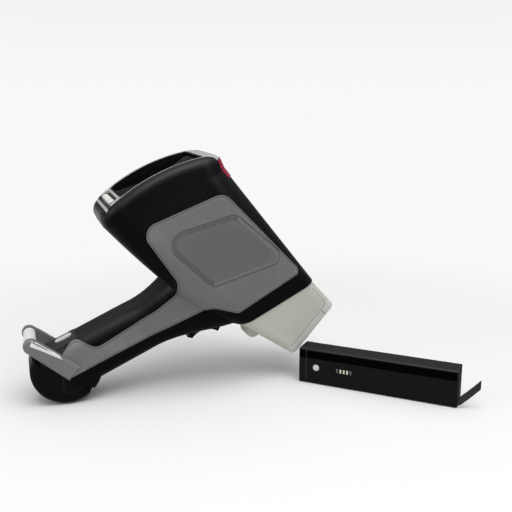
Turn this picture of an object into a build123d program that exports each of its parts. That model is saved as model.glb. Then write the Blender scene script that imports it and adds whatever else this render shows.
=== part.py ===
"""Handheld X-ray fluorescence analyzer with its battery pack taken out.

Everything is drawn in the analyzer's own upright frame (barrel along +X, width along Y,
up +Z, in millimetres) and turned at the end to the pose in which it rests on its butt.
"""
from build123d import *
import math
import os
from functools import lru_cache

# ---------------------------------------------------------------- driving dimensions
RAKE = 23.7              # lean of the handle and of the display from upright, degrees
REST_TILT = 42.0         # how far the barrel points down where the analyzer rests, degrees
WALL = 2.6               # moulded wall of the two shells
GAP = 0.3                # running clearance between pieces that move
SEAT = 0.1               # clearance of a fixed piece in its seat

# body: three stations, each centre, height, width, corner radius
DISPLAY_AT = (-121.0, -4.0)          # middle of the display face, x and z
HEAD_HEIGHT, HEAD_WIDTH, HEAD_CORNER, HEAD_SHIFT = 111.0, 84.0, 20.0, -2.5
HEAD_DEEP, HEAD_ROLL = 17.0, 8.5     # straight depth of the head and radius of its rolled edges
CROWN_AT, CROWN_TOP, CROWN_RADIUS = 1.0, 4.6, 165.0
WAIST_X, WAIST_Z, WAIST_HEIGHT, WAIST_WIDTH, WAIST_CORNER = -66.0, -17.0, 103.0, 85.0, 20.0
JOINT_AT, JOINT_RAKE = (33.0, -20.8), 21.0
JOINT_HEIGHT, JOINT_WIDTH, JOINT_CORNER = 79.0, 66.0, 12.0

# handle: raked axis through this point, stations measured down the axis
HANDLE_AT = (-37.0, -95.0)
GRIP_DEPTH, GRIP_WIDTH, GRIP_CORNER = 43.6, 40.0, 13.0
GRIP_FROM, GRIP_END = 22.0, 106.0
BUTT_AT, BUTT_RADIUS, BUTT_WIDTH, BUTT_ROUND = (-74.0, -177.0), 30.0, 38.0, 6.0
DOOR_REAR_Z, DOOR_FRONT_Z = -187.0, -179.5
TOE_FROM = -6.0

# nose
NOSE_X, NOSE_Z, NOSE_HEIGHT, NOSE_WIDTH, NOSE_CORNER = 80.0, -18.2, 59.3, 55.0, 5.0
CAP_LENGTH, NOSE_WALL, SEAM = 8.0, 2.5, 0.8
WINDOW_LENGTH, WINDOW_WIDTH = 22.0, 26.0
WINDOW_Z = -26.0

# side panel and badge plate
PANEL_LIFT, PANEL_DEPTH, PANEL_CORNER = 0.8, 1.4, 4.0
PLATE_PROUD, PLATE_SINK = 0.35, 0.7
GROOVE_WIDTH, GROOVE_DEPTH, GROOVE_OFFSET = 1.0, 0.6, 4.6

# strap bar and its two arms
BAR_AT, BAR_RADIUS = (-111.5, -176.8), 5.0
ARM_HEIGHT, ARM_INNER, ARM_OUTER = 12.0, 16.4, 22.6

# display insert: the silver bezel, its glass and keys, all in the display's frame
INSERT_WIDTH, INSERT_DEEP, INSERT_SEAM, INSERT_INSET = 68.0, 8.0, 0.35, 7.0
SEAM_LOW, SEAM_HIGH = -2.4, -7.6     # where the insert's lower edge meets the two ends of the head
GLASS_HEIGHT, GLASS_WIDTH, GLASS_THICK, GLASS_CORNER = 75.6, 65.0, 1.1, 4.0
GLASS_SHIFT, GLASS_TOP = 2.0, -2.0
VIEW_HEIGHT, VIEW_WIDTH = 69.0, 56.0
SEAL_WIDTH, SEAL_DROP = 1.5, 0.6
MODULE_THICK = 4.0
BOARD_BACK, BOARD_THICK = 11.0, 1.6
KEY_U, KEY_PITCH, KEY_LENGTH, KEY_WIDTH, KEY_TRAVEL = -43.0, 14.5, 5.4, 12.4, 1.2
KEY_TOP, KEY_FOOT = -0.7, -7.6
KEY_TROUGH_LENGTH, KEY_TROUGH_WIDTH, KEY_TROUGH_FLOOR = 10.4, 56.0, -3.6

# warning light
LENS_LENGTH, LENS_LIFT, LENS_DEPTH = 17.5, 0.8, 1.8
LED_COUNT, LED_SIZE, LED_PITCH = 6, (3.2, 2.6, 1.2), 7.4
LED_BOARD_UP, LED_BOARD_OUT, LED_BOARD_WIDTH, LED_BOARD_LENGTH = 48.35, -20.0, 8.0, 44.0

# trigger
PIVOT_AT = (3.8, -64.4)
TRIGGER_WIDTH, TRIGGER_SWING = 15.0, 7.0
PIN_RADIUS = 1.5
TRIGGER_PIN_HALF, SPRING_ROOM, SPRING_WIRE, SPRING_TURNS = 15.0, 4.2, 0.8, 3
SWITCH_SIZE = (2.6, 10.0, 9.0)

# battery pack and its bay
BATTERY_LENGTH, BATTERY_HEIGHT, BATTERY_THICK, BATTERY_CORNER = 141.0, 32.5, 20.0, 1.6
BAY_PLAY, LINER_WALL = 0.4, 1.3
COLLARS_DOWN, COLLAR_THICK = (-2.0, 34.0, 70.0), 1.6
END_CAP = 7.0
CELL_RADIUS, CELL_LENGTH = 7.2, 62.0
BATTERY_AT, BATTERY_TURN = (29.2, -35.1), -43.3
TAB_WIDTH, TAB_THICK = 12.0, 0.8
GAUGE_RADIUS, GAUGE_TRAVEL = 2.9, 0.5

sin_r, cos_r = math.sin(math.radians(RAKE)), math.cos(math.radians(RAKE))
sin_j, cos_j = math.sin(math.radians(JOINT_RAKE)), math.cos(math.radians(JOINT_RAKE))

# local frames: display (x up the screen, y left, z out), handle (x forward, z down the grip)
DISPLAY = Plane(origin=(DISPLAY_AT[0], 0, DISPLAY_AT[1]), x_dir=(sin_r, 0, cos_r), z_dir=(-cos_r, 0, sin_r))
HANDLE = Plane(origin=(HANDLE_AT[0], 0, HANDLE_AT[1]), x_dir=(cos_r, 0, -sin_r), z_dir=(-sin_r, 0, -cos_r))
JOINT = Plane(origin=(JOINT_AT[0], 0, JOINT_AT[1]), x_dir=(sin_j, 0, cos_j), z_dir=(-cos_j, 0, sin_j))


def station(x, z=0.0):
    """Upright plane across the barrel at x: local x is up, local y is left."""
    return Plane(origin=(x, 0, z), x_dir=(0, 0, 1), z_dir=(-1, 0, 0))


def handle_point(down, forward):
    """x and z of a point given in the handle's frame."""
    return (HANDLE_AT[0] - down * sin_r + forward * cos_r, HANDLE_AT[1] - down * cos_r - forward * sin_r)


def display_point(up, out):
    """x and z of a point given in the display's frame."""
    return (DISPLAY_AT[0] + up * sin_r - out * cos_r, DISPLAY_AT[1] + up * cos_r + out * sin_r)


def side_prism(points, near, far, corner=0.0, radii=None):
    """Closed outline in x and z, rounded at its corners and extruded from y=near to y=far."""
    face = make_face(Polyline(*[(x, z) for x, z in points], close=True))
    if corner:
        face = fillet(face.vertices(), corner)
    prism = extrude(Plane.XZ * face, amount=near - far)
    return Pos(0, near, 0) * prism


def side_cylinder(at, radius, near, far):
    """Cylinder along Y through the point at=(x, z)."""
    middle = (near + far) / 2
    return Pos(at[0], middle, at[1]) * Rot(90, 0, 0) * Cylinder(radius, abs(far - near))


def block(frame, centre, size, corner=0.0, edges=Axis.Z):
    """Box of the given size, centred in a local frame, with its upright edges rounded."""
    solid = Box(*size)
    if corner:
        solid = fillet(solid.edges().filter_by(edges), corner)
    return frame.location * Pos(*centre) * solid


# ---------------------------------------------------------------- outer form
@lru_cache(maxsize=None)
def head_core():
    """Display end of the head taken in by its rolled edges: a crowned block with sharp edges."""
    outline = RectangleRounded(HEAD_HEIGHT - 2 * HEAD_ROLL, HEAD_WIDTH - 2 * HEAD_ROLL, HEAD_CORNER - HEAD_ROLL)
    prism = extrude(Pos(HEAD_SHIFT, 0, -2 * HEAD_DEEP) * outline, 3 * HEAD_DEEP)
    drum = Rot(90, 0, 0) * Cylinder(CROWN_RADIUS - HEAD_ROLL, 2 * HEAD_WIDTH)
    return (prism & Pos(CROWN_AT, 0, CROWN_TOP - CROWN_RADIUS) * drum).solid()


@lru_cache(maxsize=None)
def head_end(inset):
    """Display end of the head with its crowned face and every edge rolled over."""
    rolled = offset(head_core(), amount=HEAD_ROLL - inset, kind=Kind.ARC)
    return DISPLAY.location * (rolled & Pos(0, 0, 0) * Box(2 * HEAD_HEIGHT, 2 * HEAD_WIDTH, 2 * HEAD_DEEP))


@lru_cache(maxsize=None)
def body_form(inset):
    """Barrel body, from the crowned head to the nose joint, moved in by inset all round."""
    stations = (
        (DISPLAY.offset(-HEAD_DEEP), HEAD_SHIFT, HEAD_HEIGHT, HEAD_WIDTH, HEAD_CORNER),
        (station(WAIST_X, WAIST_Z), 0.0, WAIST_HEIGHT, WAIST_WIDTH, WAIST_CORNER),
        (JOINT, 0.0, JOINT_HEIGHT, JOINT_WIDTH, JOINT_CORNER),
    )
    faces = []
    for plane, shift, height, width, corner in stations:
        outline = RectangleRounded(height - 2 * inset, width - 2 * inset, corner - inset)
        faces.append(plane.location * Pos(shift, 0, 0) * outline)
    return loft(faces) + head_end(inset)


HANDLE_STATIONS = (
    # down the axis, back, front, half width, corner radius
    (-62.0, -42.0, 35.2, 33.0, 16.0),
    (-30.0, -32.0, 28.7, 29.0, 15.0),
    (-10.0, -25.4, 24.2, 24.0, 14.0),
    (5.0, -GRIP_DEPTH / 2 - 0.6, GRIP_DEPTH / 2 + 0.4, 20.8, GRIP_CORNER),
    (GRIP_FROM, -GRIP_DEPTH / 2, GRIP_DEPTH / 2, GRIP_WIDTH / 2, GRIP_CORNER),
)


@lru_cache(maxsize=None)
def handle_form(inset):
    """Grip with the flare that carries it into the body."""
    faces = []
    for down, back, front, half_width, corner in HANDLE_STATIONS:
        outline = RectangleRounded(front - back - 2 * inset, 2 * (half_width - inset), corner - inset)
        faces.append(HANDLE.location * Pos((front + back) / 2, 0, down) * outline)
    grip = extrude(faces[-1], GRIP_END - GRIP_FROM)
    return loft(faces) + grip


@lru_cache(maxsize=None)
def butt_form(inset):
    """Round butt that closes the grip, with softened rims."""
    half = BUTT_WIDTH / 2 - inset
    disc = side_cylinder(BUTT_AT, BUTT_RADIUS - inset, -half, half)
    disc = fillet(disc.edges().filter_by(GeomType.CIRCLE), BUTT_ROUND - inset / 2)
    return disc


def door_height(x, drop=0.0):
    """Height of the seam between handle and battery door at x."""
    slope = (DOOR_FRONT_Z - DOOR_REAR_Z) / (2 * BUTT_RADIUS)
    return DOOR_REAR_Z + slope * (x - BUTT_AT[0] + BUTT_RADIUS) - drop


def door_line(drop=0.0):
    """Cutting outline of everything below that seam."""
    rear_x, front_x = BUTT_AT[0] - 60, BUTT_AT[0] + 60
    rear_z, front_z = door_height(rear_x, drop), door_height(front_x, drop)
    return [(rear_x, rear_z), (front_x, front_z), (front_x, front_z - 120), (rear_x, rear_z - 120)]


@lru_cache(maxsize=None)
def hull_form(inset):
    """Body, grip and the upper part of the butt as one form."""
    behind = block(HANDLE, (TOE_FROM - 50, 0, GRIP_END), (100, 100, 120))
    butt = butt_form(inset) - behind
    form = body_form(inset) + handle_form(inset) + butt
    return form - side_prism(door_line(), -50, 50)



# ---------------------------------------------------------------- side panels and plates
def offset_outline(points, radii, grow):
    """Face of a closed outline with its own radius at each corner, grown outwards by grow."""
    face = make_face(Polyline(*points, close=True))
    for point, radius in zip(points, radii):
        corner = face.vertices().sort_by_distance((point[0], point[1], 0))[0]
        face = fillet(corner, radius)
    return offset(face, amount=grow) if grow else face


PANEL_POINTS = (
    (-75.3, 20.4), (28.7, 14.2), (6.3, -49.5), (-15.5, -59.5), (-29.5, -96.0), (-49.6, -138.7), (-69.5, -183.0),
    (-86.5, -171.5), (-86.5, -152.0), (-67.2, -146.5), (-48.2, -92.0), (-45.0, -69.5), (-56.0, -61.0), (-109.5, -47.6),
)
PANEL_RADII = (12.0, 5.0, 6.0, 14.0, 30.0, 40.0, 3.0, 3.0, 7.0, 9.0, 20.0, 6.0, 10.0, 11.0)
PLATE_POINTS = ((-85.6, -40.2), (-53.5, 9.4), (2.5, 10.3), (-31.4, -41.9))
PLATE_RADII = (8.0, 7.0, 4.0, 5.0)


def side_reach(face, side):
    """Outline extruded from just off the middle to past the side."""
    return Pos(0, side * 8, 0) * extrude(Plane.XZ * face, amount=-side * 50)


def side_layer(face, lift, depth, side):
    """Part of the skin between two depths, inside a side outline; side is -1 right, 1 left."""
    return (side_reach(face, side) & hull_form(-lift)) - hull_form(depth)


def side_pocket(face, depth, side):
    """What to cut from a wall so that a skin piece can be sunk into it by depth."""
    return side_reach(face, side) - hull_form(depth)


def arm_outline():
    """Arm that reaches back from the panel's foot to the end of the strap bar."""
    bar_x, bar_z = BAR_AT
    half = ARM_HEIGHT / 2
    foot_x = BUTT_AT[0] + 6
    foot_z = door_height(foot_x) + 0.5
    with BuildSketch() as sketch:
        with BuildLine():
            Polyline((bar_x, bar_z - half), (foot_x, foot_z), (foot_x, bar_z + half + 4), (bar_x, bar_z + half))
            ThreePointArc((bar_x, bar_z + half), (bar_x - half, bar_z), (bar_x, bar_z - half))
        make_face()
    return sketch.sketch


def side_panel(side):
    """Grey panel with the strip down the grip and the arm that holds the strap bar."""
    face = offset_outline(PANEL_POINTS, PANEL_RADII, -SEAT)
    layer = side_layer(face, PANEL_LIFT, PANEL_DEPTH, side)
    arm = Pos(0, side * ARM_INNER, 0) * extrude(Plane.XZ * arm_outline(), amount=-side * (ARM_OUTER - ARM_INNER))
    outer_edges = arm.faces().sort_by(Axis.Y)[0 if side < 0 else -1].edges()
    arm = chamfer(outer_edges, 1.4)
    panel = layer + (arm - hull_form(PANEL_DEPTH)) - back_region(SEAT)
    panel -= side_cylinder(BAR_AT, BAR_RADIUS - 1.5, side * (ARM_INNER - 1), side * (ARM_OUTER - 1.6))
    plate = offset_outline(PLATE_POINTS, PLATE_RADII, 0)
    panel -= side_pocket(plate, PLATE_SINK - PANEL_LIFT, side)
    outer = offset_outline(PLATE_POINTS, PLATE_RADII, GROOVE_OFFSET)
    inner = offset_outline(PLATE_POINTS, PLATE_RADII, GROOVE_OFFSET - GROOVE_WIDTH)
    panel -= side_pocket(outer - inner, GROOVE_DEPTH - PANEL_LIFT, side)
    return panel


def badge_plate(side):
    """Plain plate let into the panel."""
    face = offset_outline(PLATE_POINTS, PLATE_RADII, -SEAT)
    return side_layer(face, PANEL_LIFT + PLATE_PROUD, PLATE_SINK - PANEL_LIFT, side)



# ---------------------------------------------------------------- display insert and warning light
def seam_out(up, drop=0.0):
    """Height over the display plane of the seam under the insert, at a place up the screen."""
    low, high = HEAD_SHIFT - HEAD_HEIGHT / 2, HEAD_SHIFT + HEAD_HEIGHT / 2
    return SEAM_LOW + (SEAM_HIGH - SEAM_LOW) * (up - low) / (high - low) - drop


def insert_region(grow=0.0):
    """Everything over that seam, and down past the wall between the ends, within the insert's width."""
    half = INSERT_WIDTH / 2 + grow
    reach = HEAD_HEIGHT
    low = HEAD_SHIFT - HEAD_HEIGHT / 2 + INSERT_INSET - grow
    high = HEAD_SHIFT + HEAD_HEIGHT / 2 - INSERT_INSET + grow
    corners = [(-reach, seam_out(-reach, grow)), (low, seam_out(low, grow)), (low, -INSERT_DEEP), (high, -INSERT_DEEP),
               (high, seam_out(high, grow)), (reach, seam_out(reach, grow)), (reach, reach), (-reach, reach)]
    return side_prism([display_point(up, out) for up, out in corners], -half, half)


def lens_region(grow=0.0):
    """Band of the head's top end just under the insert."""
    half = INSERT_WIDTH / 2 + grow
    near, far = HEAD_SHIFT + HEAD_HEIGHT / 4, HEAD_SHIFT + HEAD_HEIGHT
    end = LENS_LENGTH + grow
    corners = [(near, seam_out(near, INSERT_SEAM)), (far, seam_out(far, INSERT_SEAM)),
               (far, seam_out(far, end)), (near, seam_out(near, end))]
    return side_prism([display_point(up, out) for up, out in corners], -half, half)


def warning_lens():
    """Red translucent band across the head's top end."""
    return (lens_region() & body_form(-LENS_LIFT)) - body_form(LENS_DEPTH - SEAT / 2)


def lens_pocket():
    """What the shells lose for the band."""
    return lens_region(SEAT) - body_form(LENS_DEPTH)


def led_board():
    """Strip of lamps under the end wall of the head, shining through it behind the band."""
    board = block(DISPLAY, (LED_BOARD_UP, 0, LED_BOARD_OUT), (LED_SIZE[2], LED_BOARD_LENGTH, LED_BOARD_WIDTH))
    for index in range(LED_COUNT):
        across = (index - (LED_COUNT - 1) / 2) * LED_PITCH
        board += block(DISPLAY, (LED_BOARD_UP + LED_SIZE[2], across, LED_BOARD_OUT), (LED_SIZE[2], LED_SIZE[1], LED_SIZE[0]))
    return board


# ---------------------------------------------------------------- battery bay and pack sizes
BAY_HEIGHT = BATTERY_HEIGHT + 2 * BAY_PLAY
BAY_THICK = BATTERY_THICK + 2 * BAY_PLAY
BAY_MOUTH = 86.0
CONTACT_BLOCK = 5.0
BAY_LENGTH = BATTERY_LENGTH + CONTACT_BLOCK + 1.0
BAY_TOP = BAY_MOUTH - BAY_LENGTH
SCREW_AT = ((-112.0, -52.0), (-89.5, 10.0), (33.0, 9.6), (12.3, -45.9))
SCREW_RADIUS, HEAD_RADIUS, HEAD_DEPTH, BOSS_RADIUS = 1.4, 2.7, 2.2, 4.0
HINGE_AT = (-46.6, -180.6)
HINGE_RADIUS, KNUCKLE_RADIUS, KNUCKLE_WIDTH, EAR_WIDTH, HINGE_SWEEP = 1.1, 2.4, 10.0, 5.0, 1.4
PIN_HALF = KNUCKLE_WIDTH / 2 + GAP + EAR_WIDTH
LATCH_DOWN, LATCH_LENGTH, LATCH_WIDTH, LATCH_TRAVEL, LATCH_PROUD = 81.0, 15.0, 8.0, 0.9, 1.1
BACK_PANEL_TOP, BACK_PANEL_END, BACK_PANEL_WIDTH, BACK_PANEL_THICK = 70.0, 101.0, 27.0, 1.2


def trigger_slot():
    """Slot in the front of the flare that the trigger moves in."""
    points = [(-3.5, -101.0), (24.0, -70.0), (16.0, -60.0), (2.0, -57.5), (-16.0, -78.0), (-17.5, -91.0)]
    half = TRIGGER_WIDTH / 2 + GAP
    return side_prism(points, -half, half)


def back_region(grow):
    """Stretch of the grip's back that the textured panel covers."""
    length = BACK_PANEL_END - BACK_PANEL_TOP + 2 * grow
    middle = (BACK_PANEL_END + BACK_PANEL_TOP) / 2
    width = BACK_PANEL_WIDTH + 2 * grow
    return block(HANDLE, (-GRIP_DEPTH / 2 - 5, 0, middle), (30, width, length), 4, Axis.X)


def back_panel():
    """Textured panel on the back of the grip with the window for the release button."""
    panel = (back_region(-SEAT) & handle_form(-0.3)) - handle_form(BACK_PANEL_THICK)
    window = block(HANDLE, (-GRIP_DEPTH / 2, 0, LATCH_DOWN), latch_size(8.0, GAP), LATCH_WIDTH / 2 + GAP - 0.05, Axis.X)
    return panel - window


def latch_size(thick, grow):
    return (thick, LATCH_WIDTH + 2 * grow, LATCH_LENGTH + 2 * grow)


def release_button():
    """Oval button with a flange under the back panel."""
    outer = -GRIP_DEPTH / 2 - LATCH_PROUD
    inner = -GRIP_DEPTH / 2 + BACK_PANEL_THICK + GAP + 0.6
    pad = block(HANDLE, ((outer + inner) / 2, 0, LATCH_DOWN), latch_size(inner - outer, 0), LATCH_WIDTH / 2 - 0.05, Axis.X)
    flange = block(HANDLE, (inner - 0.3, 0, LATCH_DOWN), latch_size(0.6, 1.5), LATCH_WIDTH / 2, Axis.X)
    return pad + flange


def hinge_ear(side):
    """Ear on a shell that holds the door's hinge pin."""
    near = side * (KNUCKLE_WIDTH / 2 + GAP)
    far = side * (KNUCKLE_WIDTH / 2 + GAP + EAR_WIDTH)
    x, z = HINGE_AT
    ring = side_cylinder(HINGE_AT, KNUCKLE_RADIUS, near, far)
    web = side_prism([(x - KNUCKLE_RADIUS, z), (x + 1.0, z), (x + 1.6, z + 9), (x - KNUCKLE_RADIUS + 2, z + 9)], near, far)
    return (ring + web) & handle_and_butt(0.2)


@lru_cache(maxsize=None)
def handle_and_butt(inset):
    return handle_form(inset) + butt_form(inset)


def housing_shell(side):
    """One half of the moulded housing: body, flare, grip and upper butt."""
    inner = hull_form(WALL)
    shell = hull_form(0.0) - inner
    half_space = Pos(0, side * 50, 0) * Box(600, 100, 600)
    shell = shell & half_space
    panel_face = offset_outline(PANEL_POINTS, PANEL_RADII, 0)
    shell -= side_pocket(panel_face, PANEL_DEPTH, side)
    arm = Pos(0, side * ARM_INNER, 0) * extrude(Plane.XZ * offset(arm_outline(), amount=SEAT), amount=-side * 12)
    shell -= arm - hull_form(PANEL_DEPTH)
    shell -= insert_region(INSERT_SEAM)
    shell -= lens_pocket()
    shell -= trigger_slot()
    shell -= back_region(0) - handle_form(BACK_PANEL_THICK)
    shell -= block(HANDLE, (-GRIP_DEPTH / 2, 0, LATCH_DOWN), latch_size(12.0, 1.8), LATCH_WIDTH / 2, Axis.X)
    for at in SCREW_AT:
        boss = side_cylinder(at, BOSS_RADIUS, 0, side * 60) & inner
        shell += boss
        bore_from = 0 if side < 0 else -1
        depth = 12 if side < 0 else 60
        shell -= side_cylinder(at, SCREW_RADIUS + SEAT, side * bore_from, side * depth)
    if side > 0:
        for at in SCREW_AT:
            shell -= side_cylinder(at, HEAD_RADIUS + SEAT, screw_seat(at), 60)
    shell -= side_cylinder(HINGE_AT, KNUCKLE_RADIUS + GAP + HINGE_SWEEP, -BUTT_WIDTH, BUTT_WIDTH)
    shell += hinge_ear(side)
    shell -= side_cylinder(HINGE_AT, HINGE_RADIUS, -PIN_HALF, PIN_HALF)
    pivot_boss = side_cylinder(PIVOT_AT, PIN_RADIUS + 2, side * (TRIGGER_WIDTH / 2 + SPRING_ROOM), side * 60) & inner
    shell += pivot_boss
    shell -= side_cylinder(PIVOT_AT, PIN_RADIUS, -TRIGGER_PIN_HALF, TRIGGER_PIN_HALF)
    if side > 0:
        coil_room = PIN_RADIUS + SPRING_WIRE + 2 * GAP
        shell -= side_cylinder(PIVOT_AT, coil_room, 0, TRIGGER_WIDTH / 2 + SPRING_ROOM)
    return shell


@lru_cache(maxsize=None)
def screw_seat(at):
    """Y of the face that a screw's head sits on, just under the left wall's surface."""
    probe = side_cylinder(at, 0.5, 0, 60) & hull_form(0.0)
    return probe.bounding_box().max.Y - HEAD_DEPTH - 0.6


def housing_screws():
    """Four screws that pull the two shells together."""
    screws = Part()
    for at in SCREW_AT:
        seat = screw_seat(at)
        shank = side_cylinder(at, SCREW_RADIUS, -11, seat)
        head = side_cylinder(at, HEAD_RADIUS, seat, seat + HEAD_DEPTH)
        socket = Pos(at[0], seat + HEAD_DEPTH, at[1]) * Rot(90, 0, 0) * extrude(RegularPolygon(1.5, 6), 1.4, both=True)
        screws += shank + head - socket
    return screws


# ---------------------------------------------------------------- display head
def glass_prism(bottom, top, margin=0.0):
    """Block with the glass's rounded outline, moved in by margin, between two heights."""
    outline = RectangleRounded(GLASS_HEIGHT - 2 * margin, GLASS_WIDTH - 2 * margin, GLASS_CORNER - margin)
    return DISPLAY.location * extrude(Pos(GLASS_SHIFT, 0, bottom) * outline, top - bottom)


def key_at(index, out):
    """Place of a key in the display's frame; -1, 0 and 1 run from right to left."""
    return DISPLAY.location * Pos(KEY_U, index * KEY_PITCH, out)


def display_bezel():
    """Silver insert: thin rim round the glass, trough for the keys and both ends rolled over."""
    rim = insert_region() & body_form(0.0)
    tub = block(DISPLAY, (HEAD_SHIFT, 0, 0), (HEAD_HEIGHT, INSERT_WIDTH, 2 * INSERT_DEEP)) & body_form(WALL + SEAT)
    bezel = rim + tub
    bezel -= glass_prism(GLASS_TOP - GLASS_THICK, HEAD_DEEP, -SEAT)
    view = Pos(GLASS_SHIFT, 0, -HEAD_DEEP) * RectangleRounded(VIEW_HEIGHT, VIEW_WIDTH, 2)
    bezel -= DISPLAY.location * extrude(view, 2 * HEAD_DEEP)
    trough = RectangleRounded(KEY_TROUGH_LENGTH, KEY_TROUGH_WIDTH, KEY_TROUGH_LENGTH / 2 - SEAT)
    bezel -= key_at(0, KEY_TROUGH_FLOOR) * extrude(trough, HEAD_DEEP)
    hole = extrude(RectangleRounded(KEY_LENGTH + 2 * GAP, KEY_WIDTH + 2 * GAP, KEY_LENGTH / 2), 2 * HEAD_DEEP)
    for index in (-1, 0, 1):
        bezel -= key_at(index, -HEAD_DEEP) * hole
    return bezel


def display_glass():
    """Cover glass on the ledge inside the rim."""
    return glass_prism(GLASS_TOP - GLASS_THICK, GLASS_TOP)


def display_module():
    """Liquid-crystal panel in its metal tray behind the glass."""
    top = GLASS_TOP - GLASS_THICK - SEAT
    tray = block(DISPLAY, (GLASS_SHIFT, 0, top - MODULE_THICK / 2),
                 (VIEW_HEIGHT - 6 * SEAT, VIEW_WIDTH - 6 * SEAT, MODULE_THICK))
    lip = block(DISPLAY, (GLASS_SHIFT, 0, top - MODULE_THICK), (VIEW_HEIGHT - 8, VIEW_WIDTH - 8, 1.2))
    corners = RectangleRounded(VIEW_HEIGHT - 6 * SEAT, VIEW_WIDTH - 6 * SEAT, 2)
    rounded = DISPLAY.location * extrude(Pos(GLASS_SHIFT, 0, -HEAD_DEEP) * corners, HEAD_DEEP)
    return (tray + lip) & rounded


def display_gasket():
    """Black seal that stands on the glass's border and fills the rim up to its crowned edge."""
    ring = glass_prism(GLASS_TOP, HEAD_DEEP) - glass_prism(GLASS_TOP, HEAD_DEEP, SEAL_WIDTH)
    return ring & body_form(SEAL_DROP)


def processor_board():
    """Main circuit board on four posts behind the display, with its chips and shield cans."""
    top = -INSERT_DEEP - BOARD_BACK
    board = Pos(0, 0, top) * extrude(RectangleRounded(84, 62, 3), BOARD_THICK)
    for up, across, length, width, height in ((18, 8, 22, 22, 3), (-12, -10, 16, 26, 2.4), (-28, 14, 12, 14, 2)):
        board += Pos(up, across, top + BOARD_THICK + height / 2) * Box(length, width, height)
    post_height = BOARD_BACK - BOARD_THICK
    for up in (-35.4, 38):
        for across in (-28.4, 28.4):
            board += Pos(up, across, top + BOARD_THICK + post_height / 2) * Cylinder(2.4, post_height)
    return DISPLAY.location * board


def control_key(index):
    """Long key cap; the outer two carry a grip rib and the middle one is dished."""
    outline = RectangleRounded(KEY_LENGTH, KEY_WIDTH, KEY_LENGTH / 2 - SEAT)
    cap = extrude(outline, KEY_TOP - KEY_FOOT)
    cap = fillet(cap.faces().sort_by(Axis.Z)[-1].edges(), 1.2)
    top = KEY_TOP - KEY_FOOT
    if index:
        cap += Pos(0, 0, top) * fillet(Box(1.4, KEY_WIDTH - 4, 0.8).edges().filter_by(Axis.Z), 0.6)
    else:
        cap -= Pos(0, 0, top + 7.5) * Sphere(8.0)
    return key_at(index, KEY_FOOT) * cap


def key_board():
    """Dome-switch board on two posts under the three keys."""
    top = KEY_FOOT - KEY_TRAVEL - GAP
    board = extrude(RectangleRounded(KEY_LENGTH + 2, 4 * KEY_PITCH - 7, 2), 1.2)
    board = Pos(0, 0, -1.6) * board
    for index in (-1, 0, 1):
        board += Pos(0, index * KEY_PITCH, -0.2) * Cylinder(1.6, 0.4)
    post = -INSERT_DEEP - top + 0.4
    for across in (-1.6, 1.6):
        board += Pos(0, across * KEY_PITCH, -0.4 + post / 2) * Cylinder(1.2, post)
    return key_at(0, top) * board


# ---------------------------------------------------------------- nose
def nose_form(inset, extra=0.0):
    """Nose from the slanted joint to its front face."""
    back = Pos(0, 0, -SEAM) * RectangleRounded(JOINT_HEIGHT - 2.4 - 2 * inset, JOINT_WIDTH - 2.4 - 2 * inset, JOINT_CORNER - inset)
    front = RectangleRounded(NOSE_HEIGHT - 2 * inset, NOSE_WIDTH - 2 * inset, NOSE_CORNER - inset)
    return loft([JOINT.location * back, station(NOSE_X + extra, NOSE_Z).location * front], ruled=True)


def nose_housing():
    """Pale moulded snout with a screw boss below, a relief groove and a side slit."""
    cut_x = NOSE_X - CAP_LENGTH
    ahead = Pos(cut_x + 100, 0, 0) * Box(200, 200, 400)
    nose = nose_form(0.0)
    boss = Pos(41.0, 0, NOSE_Z - NOSE_HEIGHT / 2 - 6.2) * Rot(90, 0, 0) * Cylinder(7.0, 20)
    boss = fillet(boss.edges(), 2.0)
    nose = nose + boss - nose_form(NOSE_WALL) - ahead
    return nose


def nose_front_cap():
    """Front cap that carries the measuring window."""
    cut_x = NOSE_X - CAP_LENGTH + SEAT
    behind = Pos(cut_x - 100, 0, 0) * Box(200, 200, 400)
    cap = nose_form(0.0) - behind
    cap = fillet(cap.faces().sort_by(Axis.X)[-1].edges(), 2.0)
    cap -= nose_form(NOSE_WALL) & (Pos(NOSE_X - 4.0 - 100, 0, 0) * Box(200, 200, 400))
    hole = Box(20, WINDOW_WIDTH - 6, WINDOW_LENGTH - 6)
    cap -= Pos(NOSE_X, 0, WINDOW_Z) * hole
    seat = Box(2.4, WINDOW_WIDTH + 2 * SEAT, WINDOW_LENGTH + 2 * SEAT)
    cap -= Pos(NOSE_X, 0, WINDOW_Z) * fillet(seat.edges().filter_by(Axis.X), 3)
    for across, up in WINDOW_SCREWS:
        cap -= Pos(NOSE_X, across, WINDOW_Z + up) * Rot(0, 90, 0) * Cylinder(1.1, 8)
    return cap


WINDOW_SCREWS = tuple((sy * (WINDOW_WIDTH / 2 - 2.6), sz * (WINDOW_LENGTH / 2 - 2.6)) for sy in (-1, 1) for sz in (-1, 1))


def window_frame():
    """Metal frame that clamps the window film, flush with the front."""
    frame = Box(1.1, WINDOW_WIDTH, WINDOW_LENGTH)
    frame = fillet(frame.edges().filter_by(Axis.X), 2.8)
    frame -= Box(10, WINDOW_WIDTH - 11, WINDOW_LENGTH - 11)
    for across, up in WINDOW_SCREWS:
        frame -= Pos(0, across, up) * Rot(0, 90, 0) * Cylinder(1.1, 8)
        frame -= Pos(0.55, across, up) * Rot(0, 90, 0) * Cylinder(1.8, 1.4)
    return Pos(NOSE_X - 0.6, 0, WINDOW_Z) * frame


def window_film():
    """Thin film over the measuring opening."""
    return Pos(NOSE_X - 1.18, 0, WINDOW_Z) * Box(0.04, WINDOW_WIDTH - 9.6, WINDOW_LENGTH - 9.6)


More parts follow.
